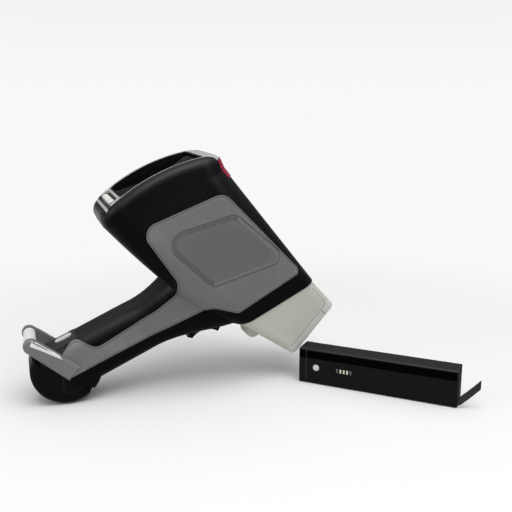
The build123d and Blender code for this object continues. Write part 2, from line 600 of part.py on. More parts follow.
def window_screws():
    """Four screws sunk in the window frame."""
    screws = Part()
    for across, up in WINDOW_SCREWS:
        shank = Pos(0, 0, -1.7) * Cylinder(0.9, 3.4)
        head = Pos(0, 0, 0.3) * Cylinder(1.7, 0.6)
        slot = Pos(0, 0, 0.6) * Box(0.5, 4, 0.5)
        screws += Pos(NOSE_X - 0.74, across, WINDOW_Z + up) * Rot(0, 90, 0) * (shank + head - slot)
    return screws


def nose_gasket():
    """Dark seal in the slanted joint between body and nose."""
    outer = RectangleRounded(JOINT_HEIGHT - 4.4, JOINT_WIDTH - 4.4, JOINT_CORNER - 1)
    inner = RectangleRounded(JOINT_HEIGHT - 2 * WALL - 4, JOINT_WIDTH - 2 * WALL - 4, JOINT_CORNER - WALL)
    return JOINT.location * Pos(0, 0, -SEAM) * extrude(outer - inner, SEAM)


# ---------------------------------------------------------------- measuring head inside
def bulkhead():
    """Cast bracket across the joint that the tube, detector and filter wheel bolt to."""
    plate = extrude(Rectangle(JOINT_HEIGHT, JOINT_WIDTH), 3)
    plate -= extrude(Pos(TUBE_UP, 0, 0) * Circle(TUBE_RADIUS + SEAT), 3)
    plate -= extrude(Pos(DETECTOR_UP, DETECTOR_SIDE, 0) * Circle(DETECTOR_RADIUS + SEAT), 3)
    placed = (JOINT.location * Pos(0, 0, 4) * plate) & body_form(WALL + SEAT)
    for at in SCREW_AT:
        placed -= side_cylinder(at, BOSS_RADIUS + SEAT, -JOINT_WIDTH, JOINT_WIDTH)
    return placed


TUBE_UP, TUBE_RADIUS, TUBE_LENGTH = 10.0, 10.0, 62.0
DETECTOR_UP, DETECTOR_SIDE, DETECTOR_RADIUS, DETECTOR_LENGTH = -14.0, 10.0, 6.0, 30.0
WHEEL_UP, WHEEL_SIDE, WHEEL_RADIUS, WHEEL_THICK, WHEEL_AHEAD = -2.0, -7.2, 18.2, 1.6, 16.5
MOTOR_RADIUS, MOTOR_LENGTH, SHAFT_RADIUS = 3.4, 15.0, 1.0


def xray_tube():
    """Tube with its stepped anode end and window snout."""
    tube = Cylinder(TUBE_RADIUS, TUBE_LENGTH)
    snout = Pos(0, 0, -TUBE_LENGTH / 2 - 4) * Cone(7.5, 4.0, 8, rotation=(180, 0, 0))
    ring = Pos(0, 0, 18) * Cylinder(TUBE_RADIUS + 1.5, 3)
    return JOINT.location * Pos(TUBE_UP, 0, TUBE_LENGTH / 2 - 6) * (tube + snout + ring)


def high_voltage_supply():
    """Potted supply block behind the tube."""
    behind = TUBE_LENGTH - 6 + SEAT
    return block(JOINT, (TUBE_UP - 12, 0, behind + 14), (36, 44, 28), 3)


def detector():
    """Drift detector can with its cooled stem."""
    can = Cylinder(DETECTOR_RADIUS, DETECTOR_LENGTH)
    nose = Pos(0, 0, -DETECTOR_LENGTH / 2 - 1) * Cylinder(DETECTOR_RADIUS - 2, 2)
    base = Pos(0, 0, DETECTOR_LENGTH / 2 - 4) * Box(17, 17, 6)
    return JOINT.location * Pos(DETECTOR_UP, DETECTOR_SIDE, DETECTOR_LENGTH / 2 - 8) * (can + nose + base)


# ---------------------------------------------------------------- trigger
def trigger_outline():
    """Side outline: hooked front face, hub at the pivot and tail to the switch."""
    tip, top = (0.4, -93.6), (14.8, -75.0)
    with BuildSketch() as sketch:
        with BuildLine():
            ThreePointArc(tip, (4.6, -80.6), top)
            Polyline(top, (13.2, -68.4), (PIVOT_AT[0] + 3.4, PIVOT_AT[1] + 3.2), (PIVOT_AT[0] - 3.6, PIVOT_AT[1] + 3.0),
                     (-2.4, -76.5), (-6.6, -89.0), (-4.6, -95.6), tip)
        make_face()
    return sketch.sketch


def trigger():
    """Hooked trigger with a hub for its pin."""
    half = TRIGGER_WIDTH / 2
    blade = Pos(0, half, 0) * extrude(Plane.XZ * trigger_outline(), TRIGGER_WIDTH)
    front = [edge for edge in blade.edges() if edge.geom_type == GeomType.CIRCLE]
    blade = fillet(front, 1.8)
    return blade - side_cylinder(PIVOT_AT, PIN_RADIUS + 0.02, -half - 1, half + 1)



def trigger_pin():
    """Steel pin through the trigger's hub, held in a boss on each shell."""
    return side_cylinder(PIVOT_AT, PIN_RADIUS - 0.03, -TRIGGER_PIN_HALF + SEAT, TRIGGER_PIN_HALF - SEAT)


def trigger_spring():
    """Torsion coil round the pin, beside the hub."""
    coil_radius = PIN_RADIUS + 0.3 + SPRING_WIRE / 2
    pitch = SPRING_WIRE + 0.08
    path = Helix(pitch, pitch * SPRING_TURNS, coil_radius)
    wire = sweep(Plane(path @ 0, z_dir=path % 0) * Circle(SPRING_WIRE / 2), path)
    start = TRIGGER_WIDTH / 2 + GAP + SPRING_WIRE / 2
    return Pos(PIVOT_AT[0], start, PIVOT_AT[1]) * Rot(-90, 0, 0) * wire


SWITCH_DOWN, PLUNGER = -27.0, 0.7


def trigger_switch():
    """Flat switch on the bay liner, behind the trigger."""
    front = LINER_DEPTH / 2 + SEAT
    thick, width, length = SWITCH_SIZE
    body = block(HANDLE, (front + thick / 2, 0, SWITCH_DOWN), (thick, width, length), 0.5, Axis.X)
    button = block(HANDLE, (front + thick + PLUNGER / 2, 0, SWITCH_DOWN), (PLUNGER, 3, 3))
    return body + button


# ---------------------------------------------------------------- battery bay
LINER_DEPTH = BAY_HEIGHT + 2 * LINER_WALL
LINER_WIDTH = BAY_THICK + 2 * LINER_WALL


def bay_liner():
    """Guide channel for the pack, closed at the top by the contact block."""
    length = BAY_MOUTH - BAY_TOP
    middle = (BAY_MOUTH + BAY_TOP) / 2
    channel = block(HANDLE, (0, 0, middle), (LINER_DEPTH, LINER_WIDTH, length), 4.0)
    channel -= block(HANDLE, (0, 0, middle), (BAY_HEIGHT, BAY_THICK, length + 2), 1.2)
    for down in COLLARS_DOWN:
        collar = block(HANDLE, (0, 0, down), (60, 60, COLLAR_THICK)) & handle_form(WALL + GAP)
        channel += collar - block(HANDLE, (0, 0, down), (BAY_HEIGHT + 1, BAY_THICK + 1, 2 * COLLAR_THICK))
    return channel


def bay_contacts():
    """Block with four sprung blades at the top of the bay."""
    body = block(HANDLE, (0, 0, BAY_TOP + 1.5), (BAY_HEIGHT - 2 * SEAT, BAY_THICK - 2 * SEAT, 3), 1.0)
    for index in range(4):
        forward = (index - 1.5) * 6.0
        body += block(HANDLE, (forward, 0, BAY_TOP + 3.8), (1.2, 6, 1.6))
    return body


def battery_door():
    """Round rubber-clad door with its hinge barrel and latch tongue."""
    half = BUTT_WIDTH / 2
    below = side_prism(door_line(GAP), -half - 5, half + 5)
    door = butt_form(0.0) & below
    door -= butt_form(3.0) & side_prism(door_line(GAP + 2.4), -half, half)
    clearance = side_cylinder(HINGE_AT, KNUCKLE_RADIUS + GAP, -half - 5, half + 5)
    door -= clearance
    barrel = side_cylinder(HINGE_AT, KNUCKLE_RADIUS, -KNUCKLE_WIDTH / 2, KNUCKLE_WIDTH / 2)
    x, z = HINGE_AT
    tie = side_prism([(x - 6, z - 3.4), (x, z + 0.4), (x + 1.6, z - 1.6), (x + 1.0, z - 6)], -KNUCKLE_WIDTH / 2, KNUCKLE_WIDTH / 2)
    door += barrel + (tie & butt_form(0.0))
    door -= side_cylinder(HINGE_AT, HINGE_RADIUS + 0.02, -half, half)
    tongue = block(HANDLE, (-GRIP_DEPTH / 2 + WALL + 2.0, 0, 102.0), (2.0, 12, 12))
    hook = block(HANDLE, (-GRIP_DEPTH / 2 + WALL + 2.8, 0, 97.0), (2.4, 12, 2))
    door += tongue + hook
    for side in (-1, 1):
        groove = side_cylinder(BUTT_AT, BUTT_RADIUS - 7.0, side * (half - 0.6), side * (half + 2))
        groove -= side_cylinder(BUTT_AT, BUTT_RADIUS - 8.2, side * (half - 2), side * (half + 3))
        door -= groove
    return door


def hinge_pin():
    """Steel pin of the door."""
    return side_cylinder(HINGE_AT, HINGE_RADIUS - 0.02, -PIN_HALF + SEAT, PIN_HALF - SEAT)


def strap_bar():
    """Bar between the two arms that a wrist strap loops round."""
    bar = side_cylinder(BAR_AT, BAR_RADIUS, -ARM_INNER + SEAT, ARM_INNER - SEAT)
    bar = chamfer(bar.edges().filter_by(GeomType.CIRCLE), 0.6)
    peg = ARM_OUTER - 1.6 - SEAT
    return bar + side_cylinder(BAR_AT, BAR_RADIUS - 1.5 - 0.05, -peg, peg)


# ---------------------------------------------------------------- filter wheel
FILTER_COUNT, FILTER_RADIUS, FILTER_AT = 6, 3.0, 14.0


def filter_wheel():
    """Disc of beam filters on its hub."""
    wheel = Cylinder(WHEEL_RADIUS, WHEEL_THICK)
    wheel += Pos(0, 0, 1.4) * Cylinder(2.6, 2.6)
    for index in range(FILTER_COUNT):
        turn = Rot(0, 0, index * 360 / FILTER_COUNT)
        wheel -= turn * Pos(FILTER_AT, 0, 0) * Cylinder(FILTER_RADIUS, WHEEL_THICK * 2)
    wheel -= Cylinder(SHAFT_RADIUS + 0.03, 20)
    return JOINT.location * Pos(WHEEL_UP, WHEEL_SIDE, -WHEEL_AHEAD) * wheel


def wheel_motor():
    """Small motor on the bulkhead whose shaft carries the filter wheel."""
    front = -WHEEL_AHEAD + 2.7 + GAP
    can = Pos(0, 0, (front + 4) / 2) * Cylinder(MOTOR_RADIUS, 4 - front)
    shaft = Pos(0, 0, (front - WHEEL_AHEAD - 1) / 2) * Cylinder(SHAFT_RADIUS, front + WHEEL_AHEAD + 1)
    return JOINT.location * Pos(WHEEL_UP, WHEEL_SIDE, 0) * (can + shaft)


# ---------------------------------------------------------------- battery pack, in its own frame
GAUGE_AT, GAUGE_UP = 16.5, 15.5
LED_FROM, LED_LENGTH, LED_HEIGHT = 34.0, 17.0, 7.0


def battery_case():
    """Pack case with the raised rim of its label field and the seat of the gauge."""
    length = BATTERY_LENGTH - END_CAP - SEAT
    case = Box(length, BATTERY_THICK, BATTERY_HEIGHT)
    case = fillet(case.edges().filter_by(Axis.X), BATTERY_CORNER)
    case = Pos(END_CAP + SEAT + length / 2, BATTERY_THICK / 2, BATTERY_HEIGHT / 2) * case
    case -= Pos(GAUGE_AT, 0, GAUGE_UP) * Rot(90, 0, 0) * Cylinder(GAUGE_RADIUS + 0.25, 5.0)
    case -= Pos(LED_FROM + LED_LENGTH / 2, 0, GAUGE_UP) * Box(LED_LENGTH + 0.2, 2.0, LED_HEIGHT + 0.2)
    case -= Pos(BATTERY_LENGTH, BATTERY_THICK / 2, BATTERY_HEIGHT / 2) * Box(2.4, 12, 24)
    case -= Pos(BATTERY_LENGTH - 1.5, BATTERY_THICK / 2, 0) * Box(TAB_THICK + 0.2, TAB_WIDTH + 0.4, 2.0)
    inner = Box(length - 6, BATTERY_THICK - 1.6, BATTERY_HEIGHT - 3.0)
    return case - Pos(END_CAP + SEAT + length / 2, BATTERY_THICK / 2, BATTERY_HEIGHT / 2) * inner


def battery_end_cap():
    """Moulded cap at the near end, with its small locating nub on top."""
    cap = Box(END_CAP, BATTERY_THICK, BATTERY_HEIGHT)
    cap = fillet(cap.edges().filter_by(Axis.X) + cap.faces().sort_by(Axis.X)[0].edges(), 1.2)
    cap = Pos(END_CAP / 2, BATTERY_THICK / 2, BATTERY_HEIGHT / 2) * cap
    return cap


def battery_cells():
    """Four round cells in two rows."""
    cells = Part()
    for row in (-1, 1):
        for column in (0, 1):
            along = END_CAP + 4 + (column + 0.5) * (CELL_LENGTH + 0.4)
            up = BATTERY_HEIGHT / 2 + row * (CELL_RADIUS + 0.05)
            cells += Pos(along, BATTERY_THICK / 2, up) * Rot(0, 90, 0) * Cylinder(CELL_RADIUS, CELL_LENGTH)
    return cells


def gauge_button():
    """Round button that lights the charge gauge."""
    button = Cylinder(GAUGE_RADIUS, 1.9)
    button = fillet(button.faces().sort_by(Axis.Z)[-1].edges(), 0.4)
    return Pos(GAUGE_AT, 0.55, GAUGE_UP) * Rot(90, 0, 0) * button


def gauge_window():
    """Window over the charge bars."""
    pane = fillet(Box(LED_LENGTH, 0.9, LED_HEIGHT).edges().filter_by(Axis.Y), 1.0)
    return Pos(LED_FROM + LED_LENGTH / 2, 0.5, GAUGE_UP) * pane


def contact_pads():
    """Five gold pads in the recess at the far end."""
    pads = Box(0.8, 11, 23)
    for index in range(5):
        pads += Pos(0.5, 0, (index - 2) * 4.4) * Box(0.4, 8, 3)
    return Pos(BATTERY_LENGTH - 1.2 + 0.4 + SEAT, BATTERY_THICK / 2, BATTERY_HEIGHT / 2) * pads


def pull_tab():
    """Ribbon that draws the pack out, folded up past the end."""
    half = TAB_THICK / 2
    x = BATTERY_LENGTH
    centre = [(x + half + 0.1, 4.0), (x + 2.2, 0.9), (x + 5.0, 1.6), (x + 16.5, 24.0), (x + 18.6, 24.6), (x + 19.4, 19.0)]
    line = Spline(*centre)
    ribbon = extrude(Plane.XZ * trace(line, TAB_THICK), TAB_WIDTH / 2, both=True)
    return Pos(0, BATTERY_THICK / 2, 0) * ribbon


# ---------------------------------------------------------------- assembly
def analyzer_nodes():
    """Every piece of the analyzer in its own upright frame."""
    nodes = {
        "right_shell": housing_shell(-1), "left_shell": housing_shell(1), "housing_screws": housing_screws(),
        "right_side_panel": side_panel(-1), "left_side_panel": side_panel(1),
        "right_badge_plate": badge_plate(-1), "left_badge_plate": badge_plate(1),
        "display_bezel": display_bezel(), "display_glass": display_glass(), "display_module": display_module(),
        "display_gasket": display_gasket(), "processor_board": processor_board(),
        "power_key": control_key(-1), "select_key": control_key(0), "back_key": control_key(1),
        "key_board": key_board(),
        "xray_warning_lens": warning_lens(), "warning_led_board": led_board(),
        "nose_housing": nose_housing(), "nose_front_cap": nose_front_cap(), "nose_gasket": nose_gasket(),
        "window_frame": window_frame(), "window_film": window_film(), "window_screws": window_screws(),
        "bulkhead": bulkhead(), "xray_tube": xray_tube(), "high_voltage_supply": high_voltage_supply(),
        "xray_detector": detector(), "filter_wheel": filter_wheel(), "filter_wheel_motor": wheel_motor(),
        "trigger": trigger(), "trigger_pin": trigger_pin(), "trigger_spring": trigger_spring(),
        "trigger_switch": trigger_switch(),
        "battery_bay_liner": bay_liner(), "battery_bay_contacts": bay_contacts(),
        "grip_back_panel": back_panel(), "door_release_button": release_button(),
        "battery_door": battery_door(), "door_hinge_pin": hinge_pin(), "strap_bar": strap_bar(),
    }
    return nodes


def battery_nodes():
    """Every piece of the pack, in the pack's own frame."""
    return {
        "battery_case": battery_case(), "battery_end_cap": battery_end_cap(), "battery_cells": battery_cells(),
        "battery_gauge_button": gauge_button(), "battery_gauge_window": gauge_window(),
        "battery_contact_pads": contact_pads(), "battery_pull_tab": pull_tab(),
    }


def rest_height():
    """How far the tilted analyzer is lifted so that its round butt meets the surface."""
    tilt = math.radians(REST_TILT)
    centre_z = -BUTT_AT[0] * math.sin(tilt) + BUTT_AT[1] * math.cos(tilt)
    return BUTT_RADIUS - centre_z


def main():
    os.makedirs("parts", exist_ok=True)
    to_rest = Pos(0, 0, rest_height()) * Rot(0, REST_TILT, 0)
    beside = Pos(BATTERY_AT[0], BATTERY_AT[1], 0) * Rot(0, 0, BATTERY_TURN)
    placed = {name: to_rest * solid for name, solid in analyzer_nodes().items()}
    placed.update({name: beside * solid for name, solid in battery_nodes().items()})
    boxes = [solid.bounding_box() for solid in placed.values()]
    middle_x = (min(box.min.X for box in boxes) + max(box.max.X for box in boxes)) / 2
    middle_y = (min(box.min.Y for box in boxes) + max(box.max.Y for box in boxes)) / 2
    origin = Pos(-middle_x, -middle_y, 0)
    for name, solid in placed.items():
        export_step(origin * solid, f"parts/{name}.step")
    lowest = min(box.min.Z for box in boxes)
    print(f"{len(placed)} nodes, middle at {middle_x:.3f}, {middle_y:.3f}, lowest point {lowest:.3f}")


main()
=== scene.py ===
import bpy
import bmesh
import math
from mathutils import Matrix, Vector
from mathutils.bvhtree import BVHTree


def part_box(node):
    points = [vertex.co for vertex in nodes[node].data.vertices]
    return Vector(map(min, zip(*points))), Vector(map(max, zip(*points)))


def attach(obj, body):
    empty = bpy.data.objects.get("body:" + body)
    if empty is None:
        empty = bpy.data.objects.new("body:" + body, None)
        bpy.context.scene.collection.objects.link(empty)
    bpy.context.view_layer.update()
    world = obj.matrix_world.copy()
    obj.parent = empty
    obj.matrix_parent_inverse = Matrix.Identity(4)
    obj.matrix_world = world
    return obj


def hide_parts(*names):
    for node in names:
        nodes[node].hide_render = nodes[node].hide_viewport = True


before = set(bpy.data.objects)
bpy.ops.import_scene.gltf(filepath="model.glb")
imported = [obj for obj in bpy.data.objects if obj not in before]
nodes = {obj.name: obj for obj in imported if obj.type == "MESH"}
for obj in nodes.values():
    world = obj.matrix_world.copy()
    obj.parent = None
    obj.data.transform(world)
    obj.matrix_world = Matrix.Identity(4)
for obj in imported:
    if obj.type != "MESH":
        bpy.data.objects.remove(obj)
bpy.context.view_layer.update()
scene = bpy.context.scene

# ------------------------------------------------------------------ camera
# A longish lens looks down a little on the analyzer's right side, from behind its butt.
# The picture's middle falls on the origin of the analyzer's own upright drawing.
REST_TILT = math.radians(42.0)
STRAP_BAR_X, STRAP_BAR_Z = -111.5, -176.8
bar_low, bar_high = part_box("strap_bar")
bar_middle = (Vector(bar_low) + Vector(bar_high)) / 2


def at_rest(x, y, z):
    """Place in metres of a point drawn in mm on the upright analyzer, once it rests on its butt."""
    dx, dz = (x - STRAP_BAR_X) / 1000, (z - STRAP_BAR_Z) / 1000
    along = dx * math.cos(REST_TILT) + dz * math.sin(REST_TILT)
    up = dz * math.cos(REST_TILT) - dx * math.sin(REST_TILT)
    return bar_middle + Vector((along, y / 1000, up))


LENS_PIXELS, PICTURE_PIXELS, SENSOR_MM = 700.0, 512.0, 36.0
VIEW_AZIMUTH, VIEW_ELEVATION, VIEW_DISTANCE = math.radians(-19.0), math.radians(12.7), 0.640

camera_data = bpy.data.cameras.new("camera")
camera = bpy.data.objects.new("camera", camera_data)
scene.collection.objects.link(camera)
outward = Vector((math.sin(VIEW_AZIMUTH) * math.cos(VIEW_ELEVATION),
                  -math.cos(VIEW_AZIMUTH) * math.cos(VIEW_ELEVATION), math.sin(VIEW_ELEVATION)))
camera.location = at_rest(0.0, 0.0, 0.0) + outward * VIEW_DISTANCE
camera.rotation_euler = outward.to_track_quat("Z", "Y").to_euler()
camera_data.sensor_width = SENSOR_MM
camera_data.lens = SENSOR_MM * LENS_PIXELS / PICTURE_PIXELS
scene.camera = camera

# ------------------------------------------------------------------ studio
# White paper keeps the soft shadow near the object and fades into the white surround further
# out. A large soft box hangs over the front, and weak ones stand at the front right and left.
# Reflections see a darker room and a darker front of the paper, as in a studio with black flags.
scene.view_settings.view_transform = "Standard"
SURROUND_WHITE, SURROUND_TOP, SURROUND_TURN = 0.94, 0.83, 0.25
SKY_LOW, SKY_HIGH, GLOSS_LOW, SKY_FROM, SKY_TO = 0.15, 0.70, 0.04, 0.1, 0.9
FLOOR_REACH, FLOOR_DROP, PAPER_WHITE = 30.0, 0.0004, 0.88
PAPER_FADE_FROM, PAPER_FADE_TO = 0.20, 0.62
GLOSS_FRONT, GLOSS_REAR, GLOSS_FROM, GLOSS_TO = 0.10, 0.85, 0.05, 0.5


def math_node(tree, operation, first, second=0.0):
    """Math node on two values or sockets."""
    node = tree.nodes.new("ShaderNodeMath")
    node.operation = operation
    for slot, value in zip(node.inputs, (first, second)):
        if isinstance(value, (int, float)):
            slot.default_value = value
        else:
            tree.links.new(value, slot)
    return node.outputs[0]


def mix_values(tree, factor, first, second):
    """Blend of two values or sockets."""
    node = tree.nodes.new("ShaderNodeMix")
    for label, value in (("Factor", factor), ("A", first), ("B", second)):
        if isinstance(value, (int, float)):
            node.inputs[label].default_value = value
        else:
            tree.links.new(value, node.inputs[label])
    return node.outputs["Result"]


def smooth_range(tree, value, low, high, start=0.0, end=1.0):
    """Smooth ramp of a value from start to end."""
    node = tree.nodes.new("ShaderNodeMapRange")
    node.interpolation_type = "SMOOTHSTEP"
    tree.links.new(value, node.inputs["Value"])
    for label, number in (("From Min", low), ("From Max", high), ("To Min", start), ("To Max", end)):
        node.inputs[label].default_value = number
    return node.outputs["Result"]


world = bpy.data.worlds.new("surround")
world.use_nodes = True
scene.world = world
sky_tree = world.node_tree
sky = sky_tree.nodes["Background"]
sky.inputs["Color"].default_value = (1.0, 1.0, 1.0, 1.0)
heading = sky_tree.nodes.new("ShaderNodeTexCoord")
heights = sky_tree.nodes.new("ShaderNodeSeparateXYZ")
sky_tree.links.new(heading.outputs["Generated"], heights.inputs[0])
room_light = smooth_range(sky_tree, heights.outputs["Z"], SKY_FROM, SKY_TO, SKY_LOW, SKY_HIGH)
backdrop_white = smooth_range(sky_tree, heights.outputs["Z"], 0.0, SURROUND_TURN, SURROUND_WHITE,
                              SURROUND_TOP)
sky_path = sky_tree.nodes.new("ShaderNodeLightPath")
seen = math_node(sky_tree, "MAXIMUM", sky_path.outputs["Is Camera Ray"],
                 sky_path.outputs["Is Transmission Ray"])
room_gloss = smooth_range(sky_tree, heights.outputs["Z"], SKY_FROM, SKY_TO, GLOSS_LOW, SKY_HIGH)
room = mix_values(sky_tree, sky_path.outputs["Is Glossy Ray"], room_light, room_gloss)
sky_tree.links.new(mix_values(sky_tree, seen, room, backdrop_white), sky.inputs["Strength"])

floor_mesh = bpy.data.meshes.new("floor")
floor_corners = [(x * FLOOR_REACH, y * FLOOR_REACH, -FLOOR_DROP)
                 for x, y in ((-1, -1), (1, -1), (1, 1), (-1, 1))]
floor_mesh.from_pydata(floor_corners, [], [(0, 1, 2, 3)])
floor = bpy.data.objects.new("floor", floor_mesh)
scene.collection.objects.link(floor)
paper = bpy.data.materials.new("floor_paper")
paper.use_nodes = True
paper_tree = paper.node_tree
paper_shader = paper_tree.nodes["Principled BSDF"]
paper_shader.inputs["Base Color"].default_value = (PAPER_WHITE, PAPER_WHITE, PAPER_WHITE, 1.0)
paper_shader.inputs["Roughness"].default_value = 0.9
paper_shader.inputs["Specular IOR Level"].default_value = 0.1
spot = paper_tree.nodes.new("ShaderNodeTexCoord")
far_off = paper_tree.nodes.new("ShaderNodeVectorMath")
far_off.operation = "LENGTH"
paper_tree.links.new(spot.outputs["Object"], far_off.inputs[0])
fade = smooth_range(paper_tree, far_off.outputs["Value"], PAPER_FADE_FROM, PAPER_FADE_TO)
paper_path = paper_tree.nodes.new("ShaderNodeLightPath")
white_paper = paper_tree.nodes.new("ShaderNodeEmission")
white_paper.inputs["Strength"].default_value = SURROUND_WHITE
paper_mix = paper_tree.nodes.new("ShaderNodeMixShader")
paper_tree.links.new(math_node(paper_tree, "MULTIPLY", fade, paper_path.outputs["Is Camera Ray"]),
                     paper_mix.inputs["Fac"])
paper_tree.links.new(paper_shader.outputs["BSDF"], paper_mix.inputs[1])
paper_tree.links.new(white_paper.outputs["Emission"], paper_mix.inputs[2])
dim_paper = paper_tree.nodes.new("ShaderNodeEmission")
spot_parts = paper_tree.nodes.new("ShaderNodeSeparateXYZ")
paper_tree.links.new(spot.outputs["Object"], spot_parts.inputs[0])
mirrored = smooth_range(paper_tree, spot_parts.outputs["Y"], GLOSS_FROM, GLOSS_TO, GLOSS_FRONT, GLOSS_REAR)
paper_tree.links.new(mirrored, dim_paper.inputs["Strength"])
gloss_mix = paper_tree.nodes.new("ShaderNodeMixShader")
paper_tree.links.new(paper_path.outputs["Is Glossy Ray"], gloss_mix.inputs["Fac"])
paper_tree.links.new(paper_mix.outputs["Shader"], gloss_mix.inputs[1])
paper_tree.links.new(dim_paper.outputs["Emission"], gloss_mix.inputs[2])
paper_tree.links.new(gloss_mix.outputs["Shader"], paper_tree.nodes["Material Output"].inputs["Surface"])
floor_mesh.materials.append(paper)


def soft_box(name, place, aim, width, height, power):
    """Rectangular lamp at place that faces aim."""
    lamp = bpy.data.lights.new(name, "AREA")
    lamp.shape = "RECTANGLE"
    lamp.size = width
    lamp.size_y = height
    lamp.energy = power
    holder = bpy.data.objects.new(name, lamp)
    holder.location = place
    holder.rotation_euler = (Vector(place) - Vector(aim)).to_track_quat("Z", "Y").to_euler()
    scene.collection.objects.link(holder)


soft_box("overhead_box", (0.0, -0.35, 1.2), (0.0, 0.05, 0.05), width=1.2, height=0.9, power=9.6)
soft_box("front_box", (0.9, -1.5, 0.8), (0.0, 0.0, 0.1), width=0.9, height=0.9, power=3.0)
soft_box("left_box", (-1.3, -0.1, 0.55), (0.0, 0.0, 0.1), width=0.7, height=0.7, power=3.0)

# ------------------------------------------------------------------ housing shells and trigger
# Two injection-moulded halves carry everything else. They and the trigger are black,
# glass-filled plastic under a thin soft-touch coat with a very fine spark-eroded grain.
PIT_SHARE, PIT_DEPTH, SPECK_SHARE, TONE_SCALE, GLOSS_SWING = 0.55, 0.6, 0.5, 24.0, 0.16
EDGE_FROM, EDGE_PATCHES = 0.52, 210.0
DUST_SCALE, DUST_PATCHES, DUST_GREY = 420.0, 55.0, (0.42, 0.41, 0.38, 1.0)
RUB_SCALE, RUB_PATCHES, RUB_GLOSS = 190.0, 31.0, 0.2
BUMP_STRENGTH, SHEEN_ROUGHNESS = 0.6, 0.35


def new_group(name, inputs, outputs):
    """Empty shader node group with the named sockets, and its two end nodes."""
    group = bpy.data.node_groups.new(name, "ShaderNodeTree")
    for label, value in inputs:
        group.interface.new_socket(label, in_out="INPUT", socket_type="NodeSocketFloat").default_value = value
    for label in outputs:
        group.interface.new_socket(label, in_out="OUTPUT", socket_type="NodeSocketFloat")
    return group, group.nodes.new("NodeGroupInput"), group.nodes.new("NodeGroupOutput")


def texture(tree, kind, place, scale, detail=2.0):
    """Noise or Voronoi texture at a place vector; scale may be a socket."""
    node = tree.nodes.new(kind)
    tree.links.new(place, node.inputs["Vector"])
    if "Detail" in node.inputs:
        node.inputs["Detail"].default_value = detail
    if isinstance(scale, (int, float)):
        node.inputs["Scale"].default_value = scale
    else:
        tree.links.new(scale, node.inputs["Scale"])
    return node


def build_moulded_grain():
    """Grain of a moulded surface: pits and swells for height, slow tone, and a change of gloss."""
    group, start, end = new_group("moulded_grain", [("Grain Size", 2600.0), ("Tone Depth", 0.05)],
                                  ["Height", "Tone", "Gloss"])
    place = group.nodes.new("ShaderNodeTexCoord").outputs["Object"]
    fine = texture(group, "ShaderNodeTexNoise", place, start.outputs["Grain Size"])
    pit_size = math_node(group, "MULTIPLY", start.outputs["Grain Size"], PIT_SHARE)
    pits = texture(group, "ShaderNodeTexVoronoi", place, pit_size)
    slow = texture(group, "ShaderNodeTexNoise", place, TONE_SCALE, 3.0)
    speck_size = math_node(group, "MULTIPLY", pit_size, SPECK_SHARE)
    speck = texture(group, "ShaderNodeTexNoise", place, speck_size, 1.0)
    deep = math_node(group, "MULTIPLY", pits.outputs["Distance"], PIT_DEPTH)
    group.links.new(math_node(group, "ADD", fine.outputs["Fac"], deep), end.inputs["Height"])
    centred = math_node(group, "SUBTRACT", slow.outputs["Fac"], 0.5)
    specks = math_node(group, "SUBTRACT", speck.outputs["Fac"], 0.5)
    both = math_node(group, "ADD", centred, specks)
    tone = math_node(group, "ADD", math_node(group, "MULTIPLY", both, start.outputs["Tone Depth"]), 1.0)
    group.links.new(tone, end.inputs["Tone"])
    group.links.new(math_node(group, "MULTIPLY", centred, GLOSS_SWING), end.inputs["Gloss"])
    return group


def build_edge_highlight():
    """Mask of the raised edges, broken into patches, that get a painted highlight."""
    group, start, end = new_group("edge_highlight", [("Reach", 0.06)], ["Edge"])
    shape = group.nodes.new("ShaderNodeNewGeometry")
    place = group.nodes.new("ShaderNodeTexCoord").outputs["Object"]
    broken = texture(group, "ShaderNodeTexNoise", place, EDGE_PATCHES)
    over = math_node(group, "SUBTRACT", shape.outputs["Pointiness"], EDGE_FROM)
    patchy = math_node(group, "MULTIPLY", math_node(group, "DIVIDE", over, start.outputs["Reach"]),
                       broken.outputs["Fac"])
    clamp = group.nodes.new("ShaderNodeClamp")
    group.links.new(patchy, clamp.inputs["Value"])
    group.links.new(clamp.outputs["Result"], end.inputs["Edge"])
    return group


def build_bench_wear():
    """Settled dust on upward faces and fine rubbed scratches, each as a mask."""
    group, start, end = new_group("bench_wear", [("Dust", 0.3), ("Rubs", 0.3)], ["Dust", "Rubs"])
    place = group.nodes.new("ShaderNodeTexCoord").outputs["Object"]
    specks = texture(group, "ShaderNodeTexVoronoi", place, DUST_SCALE)
    sparse = texture(group, "ShaderNodeTexNoise", place, DUST_PATCHES)
    small = smooth_range(group, specks.outputs["Distance"], 0.16, 0.05)
    some = smooth_range(group, sparse.outputs["Fac"], 0.52, 0.68)
    facing = group.nodes.new("ShaderNodeSeparateXYZ")
    shape = group.nodes.new("ShaderNodeNewGeometry")
    group.links.new(shape.outputs["Normal"], facing.inputs[0])
    upward = smooth_range(group, facing.outputs["Z"], 0.0, 0.8, 0.25, 1.0)
    dust = math_node(group, "MULTIPLY", math_node(group, "MULTIPLY", small, some), upward)
    group.links.new(math_node(group, "MULTIPLY", dust, start.outputs["Dust"]), end.inputs["Dust"])
    drawn = group.nodes.new("ShaderNodeMapping")
    drawn.inputs["Rotation"].default_value = (0.3, 0.7, 0.5)
    drawn.inputs["Scale"].default_value = (1.0, 14.0, 1.6)
    group.links.new(place, drawn.inputs["Vector"])
    scratch = texture(group, "ShaderNodeTexNoise", drawn.outputs["Vector"], RUB_SCALE, 4.0)
    fine_rubs = smooth_range(group, scratch.outputs["Fac"], 0.62, 0.72)
    rubbed = texture(group, "ShaderNodeTexNoise", place, RUB_PATCHES)
    patches = smooth_range(group, rubbed.outputs["Fac"], 0.5, 0.7)
    rubs = math_node(group, "MULTIPLY", fine_rubs, patches)
    group.links.new(math_node(group, "MULTIPLY", rubs, start.outputs["Rubs"]), end.inputs["Rubs"])
    return group


